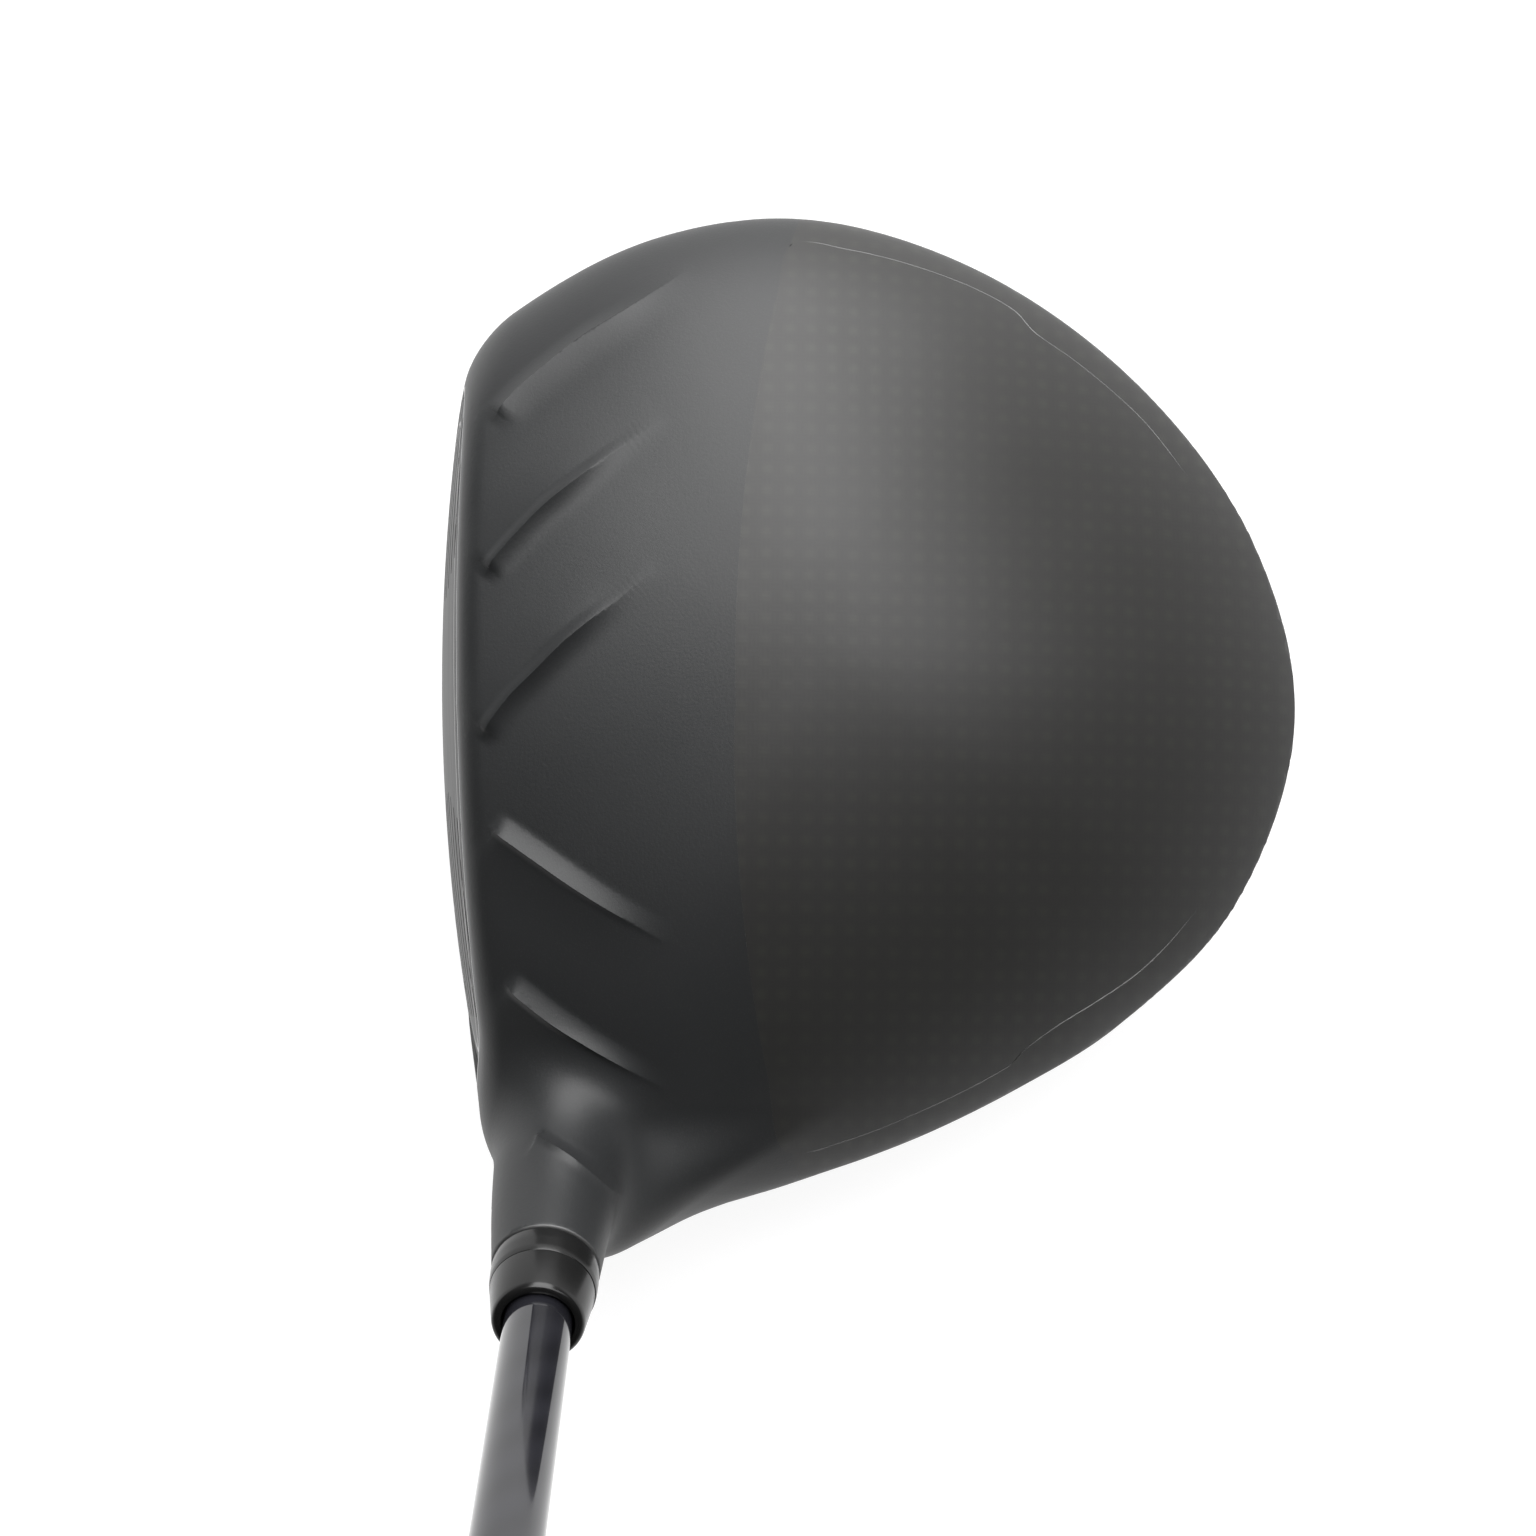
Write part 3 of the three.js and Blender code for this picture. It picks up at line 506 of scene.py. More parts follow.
CHUNK = 20000
PANEL_FRONT = 38
PANEL_EDGE = closed_spline(np.array([
    (-54.7, 47.6), (-44.4, 45.6), (-34.5, 44.0), (-22.9, 42.5), (-10, 41.3), (5, 40.9), (20, 41.0),
    (34, 41.8), (48, 43.4), (60.2, 45.5), (70.6, 47.9), (69, 56.6), (63.9, 69), (60.4, 75.9), (58.6, 78.8),
    (56.8, 80.4), (53.2, 85.1), (49.5, 91.1), (46, 96.2), (42.2, 100.3), (38.9, 103.2), (33, 107.8),
    (24, 113.0), (12, 116.2), (-2, 115.2), (-14, 110.6), (-20.5, 106.2), (-26, 101.8), (-31.3, 97.4),
    (-35.3, 93), (-39.8, 87.1), (-43.6, 81.4), (-46.6, 78.9), (-48.9, 74.9), (-50.8, 70), (-52.9, 62.6),
    (-54.2, 55.5)], float), 720)


def polygon_distance(q, ring):
    """Distance inside a closed plan curve, negative outside it."""
    out = np.empty(len(q))
    following = np.roll(ring, -1, axis=0) - ring
    length = (following ** 2).sum(axis=1)
    for start in range(0, len(q), CHUNK):
        gap = q[start:start + CHUNK, None, :] - ring[None]
        t = np.clip((gap * following).sum(axis=2) / length, 0, 1)
        gap -= t[..., None] * following
        out[start:start + CHUNK] = np.sqrt((gap ** 2).sum(axis=2).min(axis=1))
    x, y = q.T
    inside = np.zeros(len(q), bool)
    for (ax, ay), (bx, by) in zip(ring, np.roll(ring, -1, axis=0)):
        if ay != by:
            inside ^= ((ay > y) != (by > y)) & (x < (bx - ax) * (y - ay) / (by - ay) + ax)
    return np.where(inside, out, -out)


def panel_level(p):
    """Distance inside the crown panel's edge for points on the crown, negative elsewhere."""
    y = p[:, 1]
    crown = (above_equator(p) > 0.4) & (y > PANEL_FRONT)
    level = np.minimum(-np.maximum(PANEL_FRONT - y, 0.9 - above_equator(p)), -0.5)
    level[crown] = polygon_distance(p[crown, :2], PANEL_EDGE)
    return level


FACE_INSET = 4.6
FACE_PLATE_THICKNESS = 3.0
BADGE_CENTRE = (5.0, 58.0)
BADGE_RADIUS = 14.0


def face_level(p):
    """Distance inside the face plate's outline for points on the face, negative elsewhere."""
    level = -dome_distance(p) - FACE_INSET
    return np.where(face_distance(p) > -4, level, -5.0)


def seam_level(p):
    """Above zero on the crown behind the seam between the painted front and the carbon skin."""
    behind = p[:, 1] - (40.95 + 0.0018 * (p[:, 0] - 5) ** 2)
    return np.minimum(behind, above_equator(p) + 2.0)


def sole_level(p):
    """Above zero on the sole, below a line a little under the widest part of the head."""
    heel_lift = 9 * smooth_step(40, 66, p[:, 0]) * (1 - smooth_step(30, 60, p[:, 1]))
    return -above_equator(p) - 3.5 - heel_lift


def badge_level(p):
    d = np.hypot(p[:, 0] - BADGE_CENTRE[0], p[:, 1] - BADGE_CENTRE[1])
    return np.where(p[:, 2] < 20, BADGE_RADIUS - d, -10.0)


def sink(points, faces, kinds, mask, depth, chamfer, outward):
    """Sets the masked faces back by depth and joins them to the rest with chamfered walls.

    Chamfers get the kind EDGE, and walls and recess the kind INNER."""
    normals = point_normals(points, faces)
    region = faces[mask]
    rim = open_sides(region)
    used = np.unique(region)
    floor = np.full(len(points), -1)
    floor[used] = len(points) + np.arange(len(used))
    loop = np.unique(rim)
    lip = np.full(len(points), -1)
    lip[loop] = len(points) + len(used) + np.arange(len(loop))
    width = chamfer[loop][:, None]
    moved = points.copy()
    moved[loop] += outward[loop] * width
    a, b = rim.T
    bevel = quad_faces(a, b, lip[b], lip[a])
    wall = quad_faces(lip[a], lip[b], floor[b], floor[a])
    added = [points[used] - normals[used] * depth, points[loop] - normals[loop] * width]
    new_kinds = np.repeat((EDGE, INNER), (len(bevel), len(wall) + len(region)))
    return (np.concatenate([moved] + added), np.concatenate([faces[~mask], bevel, wall, floor[region]]),
            np.concatenate([kinds[~mask], new_kinds]))


# --- placing pieces in the frame
# Material numbers in the casting
FRONT, EDGE, INNER, REAR, SOLE, FACE_LIP_HIGHLIGHT = range(6)
JOINTS = {joint["name"]: joint for joint in frame["joints"]}
AXIS_POINT = 60.0
HEAD_ORIGIN = np.array(JOINTS["loft_setting"]["pos_m"]) * 1000 - (HOSEL_GROUND + AXIS_POINT * HOSEL_AXIS)
TRACK_CENTRE = np.array(JOINTS["weight_slide"]["pos_m"]) * 1000 - HEAD_ORIGIN
WEIGHT_SCREW = np.array(JOINTS["weight_screw_turn"]["pos_m"]) * 1000 - HEAD_ORIGIN


def to_frame(p):
    return (np.asarray(p, float) + HEAD_ORIGIN) / 1000


def show(name, data):
    thing = bpy.data.objects.new(name, data)
    bpy.context.scene.collection.objects.link(thing)
    return thing


def add_mesh(name, points, faces, body, slot, materials, nodes=(), kinds=None, sharp=32):
    """Makes a Blender mesh piece from head coordinates in millimetres and puts it on its body."""
    mesh = bpy.data.meshes.new(name)
    mesh.from_pydata(to_frame(points).tolist(), [], faces.tolist(), shade_flat=False)
    if kinds is not None:
        mesh.polygons.foreach_set("material_index", np.asarray(kinds, dtype=np.int32))
    mesh.set_sharp_from_angle(angle=math.radians(sharp))
    for material in materials:
        mesh.materials.append(material)
    piece = show(name, mesh)
    if body:
        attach(piece, body)
    if nodes:
        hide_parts(*nodes)
    return piece


def circle(axis, count):
    """Angles round an axis and the unit vectors that point that way."""
    side = unit(np.cross((0.0, 1.0, 0.0), axis))
    angle = np.arange(count) / count * 2 * math.pi
    return angle, np.cos(angle)[:, None] * side + np.sin(angle)[:, None] * np.cross(axis, side)


def facing_out(points, faces):
    a, b, c = (points[faces[:, k]] - points.mean(axis=0) for k in range(3))
    return faces if np.einsum("ij,ij->i", a, np.cross(b, c)).sum() > 0 else faces[:, ::-1]


def lathe(profile, origin, axis, segments=96, lobes=1.0):
    """Closed solid turned from (radius, height) pairs, capped where they start and end on the axis.

    lobes scales the radius at each angle."""
    ring = circle(axis, segments)[1] * np.broadcast_to(lobes, segments)[:, None]
    points = []
    rows = []
    for radius, height in profile:
        start = len(points)
        if radius <= 0:
            points.append(origin + axis * height)
            rows.append(np.full(segments, start))
        else:
            points.extend(origin + axis * height + ring * radius)
            rows.append(start + np.arange(segments))
    if profile[0][0] > 0:
        rows.append(rows[0])
    points = np.array(points)
    return points, facing_out(points, tube_faces(np.array(rows)))


CORNER_STEPS = 3


def soften(profile, radius):
    """Rounds every corner of a (radius, height) profile that isn't on the axis."""
    points = [np.array(p, float) for p in profile]
    out = []
    for i, p in enumerate(points):
        if p[0] <= 1e-6:
            out.append(p)
            continue
        before = points[i - 1] - p
        after = points[(i + 1) % len(points)] - p
        reach = min(radius, 0.45 * np.linalg.norm(before), 0.45 * np.linalg.norm(after))
        a = p + unit(before) * reach
        b = p + unit(after) * reach
        for k in range(CORNER_STEPS + 1):
            t = k / CORNER_STEPS
            out.append((1 - t) ** 2 * a + 2 * t * (1 - t) * p + t * t * b)
    return out


def cut_away(piece, cutters):
    """Subtracts closed solids, given as (points, faces). What it cuts is of the kind INNER."""
    for points, faces in cutters:
        tool = add_mesh("cutter", points, faces, None, None, piece.data.materials[:], sharp=180,
                        kinds=np.full(len(faces), INNER))
        change = piece.modifiers.new("cut", "BOOLEAN")
        change.operation = "DIFFERENCE"
        change.solver = "MANIFOLD"
        change.object = tool
        bpy.context.view_layer.update()
        graph = bpy.context.evaluated_depsgraph_get()
        old = piece.data
        cut = bpy.data.meshes.new_from_object(piece.evaluated_get(graph))
        piece.modifiers.clear()
        piece.data = cut
        bpy.data.meshes.remove(old)
        bpy.data.objects.remove(tool)


def turned(name, profile, place, body, slot, materials, nodes, segments=96, rounding=0.12):
    """Adds a piece turned about place, which is an origin and an axis."""
    points, faces = lathe(soften(profile, rounding), *place, segments)
    return add_mesh(name, points, faces, body, slot, materials, nodes)


# --- materials
class Nodes:
    """A short way to wire a node material."""

    def __init__(self, name):
        self.material = bpy.data.materials.new(name)
        self.material.use_nodes = True
        self.tree = self.material.node_tree
        self.shader = self.tree.nodes["Principled BSDF"]
        self.coordinates = self.tree.nodes.new("ShaderNodeTexCoord").outputs["Object"]

    def node(self, kind, *values, **named):
        """Adds a node. Names in capitals are its sockets and the others its settings."""
        node = self.tree.nodes.new("ShaderNode" + kind)
        for value, socket in zip(values, node.inputs):
            self.join(value, socket)
        for name, value in named.items():
            if name[0].isupper():
                self.join(value, node.inputs[name])
            else:
                setattr(node, name, value)
        return node

    def join(self, value, socket):
        if hasattr(value, "links"):
            self.tree.links.new(value, socket)
        else:
            socket.default_value = value

    def set(self, **inputs):
        names = {"color": "Base Color", "rough": "Roughness", "metal": "Metallic", "normal": "Normal",
                 "coat": "Coat Weight", "coat_rough": "Coat Roughness", "specular": "Specular IOR Level",
                 "sheen": "Sheen Weight", "sheen_rough": "Sheen Roughness"}
        for key, value in inputs.items():
            self.join(value, self.shader.inputs[names[key]])
        return self.material

    def math(self, operation, a, b):
        return self.node("Math", a, b, operation=operation).outputs[0]

    def times(self, a, b):
        return self.math("MULTIPLY", a, b)

    def plus(self, a, b):
        return self.math("ADD", a, b)

    def noise(self, scale, detail=3.0, rough=0.55, vector=None):
        return self.node("TexNoise", Vector=vector or self.coordinates, Scale=scale, Detail=detail,
                         Roughness=rough).outputs[0]

    def span(self, value, low, high, from_low=0.0, from_high=1.0):
        return self.node("MapRange", value, from_low, from_high, low, high).outputs[0]

    def threads(self, direction, scale, distortion, detail):
        """Parallel lines in one direction."""
        return self.node("TexWave", Vector=self.coordinates, Scale=scale, Distortion=distortion,
                         Detail=detail, bands_direction=direction).outputs[1]

    def cloudy(self, cloud, low, high):
        """Passes low and high on in soft patches, as numbers or as colours."""
        if isinstance(low, tuple):
            return self.mix(self.span(cloud, 0, 1, 0.3, 0.7), low, high)
        return self.span(cloud, low, high, 0.3, 0.7)

    def mix(self, factor, a, b):
        node = self.tree.nodes.new("ShaderNodeMix")
        node.data_type = "RGBA"
        self.join(factor, node.inputs[0])
        self.join(a, node.inputs[6])
        self.join(b, node.inputs[7])
        return node.outputs[2]

    def bump(self, height, strength, distance=0.0002):
        return self.node("Bump", Height=height, Strength=strength, Distance=distance).outputs[0]


def grey(value, warm=0.0):
    return (value * (1 + warm), value, value * (1 - warm), 1)


def paint_material(name, level, warm=-0.02, rough=0.50):
    n = Nodes(name)
    cloud = n.noise(14, 3)
    grain = n.noise(2600, 2, 0.7)
    flake = n.noise(5200, 1, 0.5)
    tone = n.cloudy(cloud, grey(level * 0.94, warm), grey(level * 1.06, warm))
    tone = n.mix(n.span(flake, 0, 0.35, 0.55, 0.75), tone, grey(level * 1.9, warm))
    roughness = n.plus(n.cloudy(cloud, rough - 0.03, rough + 0.03), n.span(grain, -0.03, 0.03))
    return n.set(color=tone, rough=roughness, specular=0.3, normal=n.bump(grain, 0.10))


def carbon_material():
    """Matt carbon skin: rows of small tow crossings, only faintly lighter than the resin."""
    n = Nodes("carbon_weave")
    pitch = 0.0029
    axes = n.node("SeparateXYZ", Vector=n.coordinates)
    waver = n.times(n.math("SUBTRACT", n.noise(30, 2), 0.5), 0.0008)
    wave_u, wave_v = (n.math("SINE", n.times(n.plus(axes.outputs[k], waver), 2 * math.pi / pitch), 0)
                      for k in (0, 1))
    dots = n.math("POWER", n.times(n.times(n.plus(wave_u, 1.0), n.plus(wave_v, 1.0)), 0.25), 1.4)
    over = n.math("GREATER_THAN", n.times(wave_u, wave_v), 0.0)
    fibres = n.plus(n.times(n.threads("X", 520.0, 1.0, 1.0), over),
                    n.times(n.threads("Y", 520.0, 1.0, 1.0), n.math("SUBTRACT", 1.0, over)))
    patch = n.noise(60, 3)
    strength = n.times(dots, n.cloudy(patch, 0.5, 1.1))
    tone = n.mix(strength, (0.0146, 0.0142, 0.0138, 1), (0.0186, 0.0189, 0.0166, 1))
    tone = n.mix(n.times(fibres, 0.08), tone, (0.026, 0.026, 0.024, 1))
    rough = n.math("SUBTRACT", n.cloudy(patch, 0.455, 0.495), n.times(strength, 0.02))
    height = n.plus(n.times(dots, 0.8), n.times(fibres, 0.2))
    return n.set(color=tone, rough=rough, specular=0.32, normal=n.bump(height, 0.045))


def metal_material(name, level, rough, direction="X", scale=900.0, brush=0.12):
    """Metal brushed along one axis."""
    n = Nodes(name)
    stretch = (0.02, 1, 1) if direction == "X" else (1, 1, 0.02)
    lines = n.noise(scale, 3, 0.6, n.node("Mapping", Vector=n.coordinates, Scale=stretch).outputs[0])
    tone = n.cloudy(n.noise(25, 3), grey(level * 0.93), grey(level * 1.05))
    tone = n.mix(n.times(lines, brush), tone, grey(level * 0.5))
    roughness = n.plus(n.span(lines, -0.07, 0.09), rough)
    return n.set(color=tone, rough=roughness, metal=1.0, normal=n.bump(lines, 0.08, 0.0001))


def plastic_material(name, level, rough, grain=900.0, bump=0.06, specular=0.5, warm=0.0):
    n = Nodes(name)
    speck = n.noise(grain, 3, 0.6)
    cloud = n.noise(30, 2)
    tone = n.cloudy(cloud, grey(level * 0.85, warm), grey(level * 1.15, warm))
    roughness = n.plus(n.span(speck, -0.05, 0.05), n.cloudy(cloud, rough - 0.03, rough + 0.03))
    return n.set(color=tone, rough=roughness, specular=specular, normal=n.bump(speck, bump))


def shaft_material():
    """Gloss black lacquer over wrapped fibre, with a faint spiral in the resin below the clear coat."""
    n = Nodes("shaft_lacquer")
    cloud = n.noise(90, 2)
    wrap = n.times(n.threads("DIAGONAL", 60.0, 0.6, 2.0), cloud)
    tone = n.mix(wrap, (0.008, 0.008, 0.010, 1), (0.016, 0.016, 0.020, 1))
    return n.set(color=tone, rough=n.cloudy(cloud, 0.07, 0.11), coat=0.6, coat_rough=0.04,
                 normal=n.bump(cloud, 0.01))


def rubber_material():
    n = Nodes("grip_rubber")
    grain = n.noise(1800, 4, 0.65)
    tone = n.cloudy(n.noise(35, 3), (0.016, 0.016, 0.017, 1), (0.026, 0.026, 0.027, 1))
    tone = n.mix(n.span(grain, 0, 0.25, 0.55, 0.8), tone, (0.06, 0.06, 0.062, 1))
    return n.set(color=tone, rough=n.cloudy(grain, 0.66, 0.82), sheen=0.08, sheen_rough=0.5,
                 normal=n.bump(grain, 0.25, 0.0003))


HEAD_PAINT = paint_material("head_paint", 0.0138, warm=-0.04, rough=0.46)
SOLE_PAINT = paint_material("sole_paint", 0.014, rough=0.40)
EDGE_METAL = metal_material("panel_edge", 0.10, 0.50)
INNER_METAL = metal_material("inner_metal", 0.10, 0.55)
FACE_METAL = metal_material("face_metal", 0.085, 0.36, scale=1500.0, brush=0.45)
FACE_METAL.node_tree.nodes["Principled BSDF"].inputs["Specular Tint"].default_value = grey(0.64)
# Bare polished edge metal, far lighter than the face and the casting's other bare metal: its light colour is
# a painted highlight of the bevel where the crown meets the face.
EDGE_HIGHLIGHT_METAL = metal_material("edge_highlight_metal", 0.42, 0.34)
GROOVE_PAINT = plastic_material("groove_paint", 0.012, 0.6)
CARBON = carbon_material()
BADGE_METAL = metal_material("badge_metal", 0.30, 0.30)
DARK_METAL = metal_material("dark_metal", 0.15, 0.24, "Z", scale=1400.0)
STEEL = metal_material("steel", 0.50, 0.28)
WEIGHT_METAL = metal_material("weight_metal", 0.16, 0.36, scale=700.0)
RING_BLACK = plastic_material("ring_black", 0.007, 0.23, grain=1500.0, bump=0.015, specular=0.28)
SOFT_PLASTIC = plastic_material("soft_plastic", 0.03, 0.6)
TAPE = plastic_material("paper_tape", 0.5, 0.8, bump=0.3, warm=0.12)
SHAFT_PAINT = shaft_material()
GRIP_RUBBER = rubber_material()


# --- camera, floor and light
CAMERA_AT = np.array((42.37, 53.37, 455.67))
CAMERA_BACK = np.array((math.sin(math.radians(3.31)), math.sin(math.radians(1.15)), 0.0))
CAMERA_BACK[2] = math.sqrt(1 - (CAMERA_BACK ** 2).sum())
CAMERA_ROLL = math.radians(0.6)
SENSOR = 36.0
FOCAL_PIXELS = 3048.7
LENS = FOCAL_PIXELS / 1536 * SENSOR

up = np.array((-1.0, 0.0, 0.0))
up = unit(up - CAMERA_BACK * (up @ CAMERA_BACK))
right = np.cross(up, CAMERA_BACK)
across = math.cos(CAMERA_ROLL) * right + math.sin(CAMERA_ROLL) * up
upward = -math.sin(CAMERA_ROLL) * right + math.cos(CAMERA_ROLL) * up
data = bpy.data.cameras.new("camera")
data.lens = LENS
data.sensor_width = SENSOR
data.clip_start = 0.01
data.clip_end = 20
camera = show("camera", data)
place = to_frame(CAMERA_AT)
turn = np.stack([across, upward, CAMERA_BACK, place], 1)
camera.matrix_world = Matrix([list(map(float, row)) for row in turn] + [[0, 0, 0, 1]])
bpy.context.scene.camera = camera


FLOOR_HALF = 8.0
FLOOR_GLOW = 0.90
FLOOR_GAP = 0.0005
bpy.context.scene.view_settings.view_transform = "Standard"

# Pale paper just below the object. It glows a little, because the photograph's background is white.
x, y, _ = to_frame((10, 60, 0))
z = cad_box[0][2] - FLOOR_GAP
mesh = bpy.data.meshes.new("floor")
corners = [(x + a * FLOOR_HALF, y + b * FLOOR_HALF, z) for a, b in ((-1, -1), (1, -1), (1, 1), (-1, 1))]
mesh.from_pydata(corners, [], [(0, 1, 2, 3)])
n = Nodes("floor_paper")
n.set(color=n.mix(n.noise(2, 2), grey(0.18), grey(0.20)), rough=0.9, specular=0.1)
n.shader.inputs["Emission Color"].default_value = (1, 1, 1, 1)
n.shader.inputs["Emission Strength"].default_value = FLOOR_GLOW
mesh.materials.append(n.material)
show("floor", mesh)


# The sky's brightness at two heights of the view direction: height, height, brightness, brightness
SKY = (0.03, 0.24, 0.50, 0.024)
# Lights: place from the head's middle in metres, width, height and power
SOFTBOXES = {"toe_softbox": ((-1.0, 0.12, 0.90), 1.1, 2.2, 66),
             "top_softbox": ((-0.30, 0.80, 1.25), 0.8, 0.8, 9)}

# An even sky that darkens upwards, which keeps the crown dark, and two soft lamps.
middle = to_frame((5, 55, 40))
world = bpy.data.worlds.new("studio")
bpy.context.scene.world = world
world.use_nodes = True
tree = world.node_tree
background = tree.nodes["Background"]
split = tree.nodes.new("ShaderNodeSeparateXYZ")
tree.links.new(tree.nodes.new("ShaderNodeTexCoord").outputs["Generated"], split.inputs[0])
fade = tree.nodes.new("ShaderNodeMapRange")
fade.interpolation_type = "SMOOTHSTEP"
tree.links.new(split.outputs[2], fade.inputs[0])
for index, value in enumerate(SKY, start=1):
    fade.inputs[index].default_value = value
background.inputs[0].default_value = (1, 1, 1, 1)
tree.links.new(fade.outputs[0], background.inputs[1])
for name, (offset, width, height, power) in SOFTBOXES.items():
    data = bpy.data.lights.new(name, "AREA")
    data.shape = "RECTANGLE"
    data.size = width
    data.size_y = height
    data.energy = power
    light = show(name, data)
    light.location = middle + offset
    light.rotation_euler = (Vector(middle) - light.location).to_track_quat("-Z", "Y").to_euler()


# --- head
NET_PITCH = 1.15
NET_LOW = (-66, -8, -3)
NET_HIGH = (98, 124, 92)
PANEL_THICKNESS = 1.5
PANEL_RECESS = 1.75
PANEL_GAP = 0.02
FACE_RIM = 0.5
BADGE_RECESS = 0.9
CAVITY_DEPTH = 3.6
CAVITY_PITCH = 2.6
HOSEL_TUBE_RADIUS = 8.0
CHANNEL_RADIUS = 33.4
CHANNEL_TOP = 21.8
CHANNEL_HALF_ANGLE = 35.5
CHAMFER = 0.12
BADGE_CHAMFER = 0.2
BADGE_GAP = 0.15

skin, skin_faces = surface_net(head_surface, NET_LOW, NET_HIGH, NET_PITCH)
skin = settle(head_surface, skin)
for _ in range(3):
    skin, skin_faces = refine(skin, skin_faces, ridge_mesh_size)
    skin = settle(head_surface, skin, 2)
skin, skin_faces = cut_along(skin, skin_faces, above_equator)
skin = settle(head_surface, skin, 2)
for crest in RIDGE_LINES:
    skin, skin_faces = cut_along(skin, skin_faces, crest_level(crest), 0.25)
skin = skin + point_normals(skin, skin_faces) * ridge_height(skin)[:, None]

for level, shift in ((panel_level, 0.0), (panel_level, PANEL_GAP), (face_level, 0.0), (face_level, -FACE_RIM),
                     (badge_level, 0.0), (badge_level, BADGE_GAP), (seam_level, 0.0), (sole_level, 0.0)):
    skin, skin_faces = cut_along(skin, skin_faces, lambda p: level(p) - shift)
middles = skin[skin_faces].mean(axis=1)
panel_at = panel_level(middles)
face_at = face_level(middles)
badge_at = badge_level(middles)


def away_from(level, points, normals, near=0.6):
    """Direction out of a region in the surface, for points close to its edge."""
    out = np.zeros_like(points)
    edge = np.where(np.abs(level(points)) < near)[0]
    _, slope = gradient(level, points[edge], 0.05)
    out[edge] = unit(normals[edge] * (slope * normals[edge]).sum(axis=1)[:, None] - slope)
    return out


def hairline_width(p):
    """Width of the crown panel's chamfer, which shows along both sides but not at the front or the rear."""
    x, y = p[:, 0], p[:, 1]
    front = smooth_step(1.5, 5, y - (41 + 0.0017 * (x - 5) ** 2))
    end = np.where(x < 6, 98, 99)
    return 0.003 + 0.2 * front * (1 - smooth_step(end, end + 6, y))


panel_points, panel_faces = compact(skin, skin_faces[panel_at > PANEL_GAP])
panel = thicken(panel_points, panel_faces, point_normals(panel_points, panel_faces), PANEL_THICKNESS)
add_mesh("crown_panel_skin", *panel, "head", "carbon", [CARBON], ("crown_panel",), sharp=50)

kinds = np.where(seam_level(middles) > 0, REAR, np.where(sole_level(middles) > 0, SOLE, FRONT))
# A 0.5 mm ring of the casting round the face plate gets the light edge metal: bare metal, with a painted
# highlight of the bevel between crown and face.
kinds[(face_at > -FACE_RIM) & (face_at < 0)] = FACE_LIP_HIGHLIGHT
points, faces = skin, skin_faces
for level, depth, chamfer in ((panel_level, PANEL_RECESS, hairline_width),
                              (face_level, FACE_PLATE_THICKNESS, lambda p: np.full(len(p), CHAMFER)),
                              (badge_level, BADGE_RECESS, lambda p: np.full(len(p), BADGE_CHAMFER))):
    outward = away_from(level, points, point_normals(points, faces))
    mask = level(points[faces].mean(axis=1)) > 0
    points, faces, kinds = sink(points, faces, kinds, mask, depth, chamfer(points), outward)


def cavity(p):
    """The hollow inside the casting, clear of the skin, the hosel tube and the weight channel."""
    shell = smooth_max(dome_distance(p), face_distance(p), 2.0) + CAVITY_DEPTH
    face_back = face_distance(p) + FACE_PLATE_THICKNESS + 2.6
    _, radial = hosel_coordinates(p)
    tube = HOSEL_TUBE_RADIUS - radial
    x, y = p[..., 0] - TRACK_CENTRE[0], p[..., 1] - TRACK_CENTRE[1]
    bearing = np.degrees(np.arctan2(np.abs(x), y))
    channel = np.minimum.reduce([np.hypot(x, y) - CHANNEL_RADIUS, CHANNEL_TOP - p[..., 2],
                                 (CHANNEL_HALF_ANGLE - bearing) * 0.8])
    return np.maximum.reduce([shell, face_back, tube, channel])


hollow, hollow_faces = surface_net(cavity, NET_LOW, NET_HIGH, CAVITY_PITCH)
faces = np.concatenate([faces, hollow_faces[:, ::-1] + len(points)])
points = np.concatenate([points, hollow])
kinds = np.concatenate([kinds, np.full(len(hollow_faces), INNER)])
casting = add_mesh("casting_shell", points, faces, "head", "head_paint",
                   [HEAD_PAINT, EDGE_METAL, INNER_METAL, CARBON, SOLE_PAINT, EDGE_HIGHLIGHT_METAL],
                   ("body_casting",), kinds, sharp=38)
BORE = 5.75
HOSEL_BORE = [(0, 100), (12, 100), (12, 76.25), (7.05, 76.25), (6.92, 76.42), (6.72, 76.56), (6.5, 76.6),
              (6.05, 76.6), (5.85, 76.5), (BORE, 76.25), (BORE, 36), (2.7, 36), (2.7, 33), (4.6, 33),
              (4.6, -8), (0, -8)]


def sector(inner, outer, half_angle, low, high, steps=48):
    """Closed block between two radii and two heights about the weight track's centre."""
    angle = np.radians(np.linspace(-half_angle, half_angle, steps))
    ring = np.stack([np.sin(angle), np.cos(angle)], 1)
    rows = [np.column_stack([TRACK_CENTRE[:2] + ring * radius, np.full(steps, z)])
            for radius, z in ((inner, low), (outer, low), (outer, high), (inner, high))]
    index = np.arange(4 * steps).reshape(4, steps).T
    ends = np.array([index[0, ::-1], index[-1]])
    points = np.concatenate(rows)
    return points, facing_out(points, np.concatenate([tube_faces(index), quad_faces(*ends.T)]))


# Cuts about the weight track's centre: inner and outer radius, half angle in degrees, bottom and top
ROOF_Z = 19.8
WEIGHT_TRACK = (35.4, 66, 32, -10, ROOF_Z)
SCREW_SLOT = (38.6, 43.4, 20.5, ROOF_Z - 0.5, ROOF_Z + 6)
NUT_POCKET = (37.2, 44.1, 23.0, ROOF_Z + 1.95, 23.9)
cut_away(casting, [lathe(HOSEL_BORE, *HOSEL, 128)]
         + [sector(*cut) for cut in (WEIGHT_TRACK, SCREW_SLOT, NUT_POCKET)])


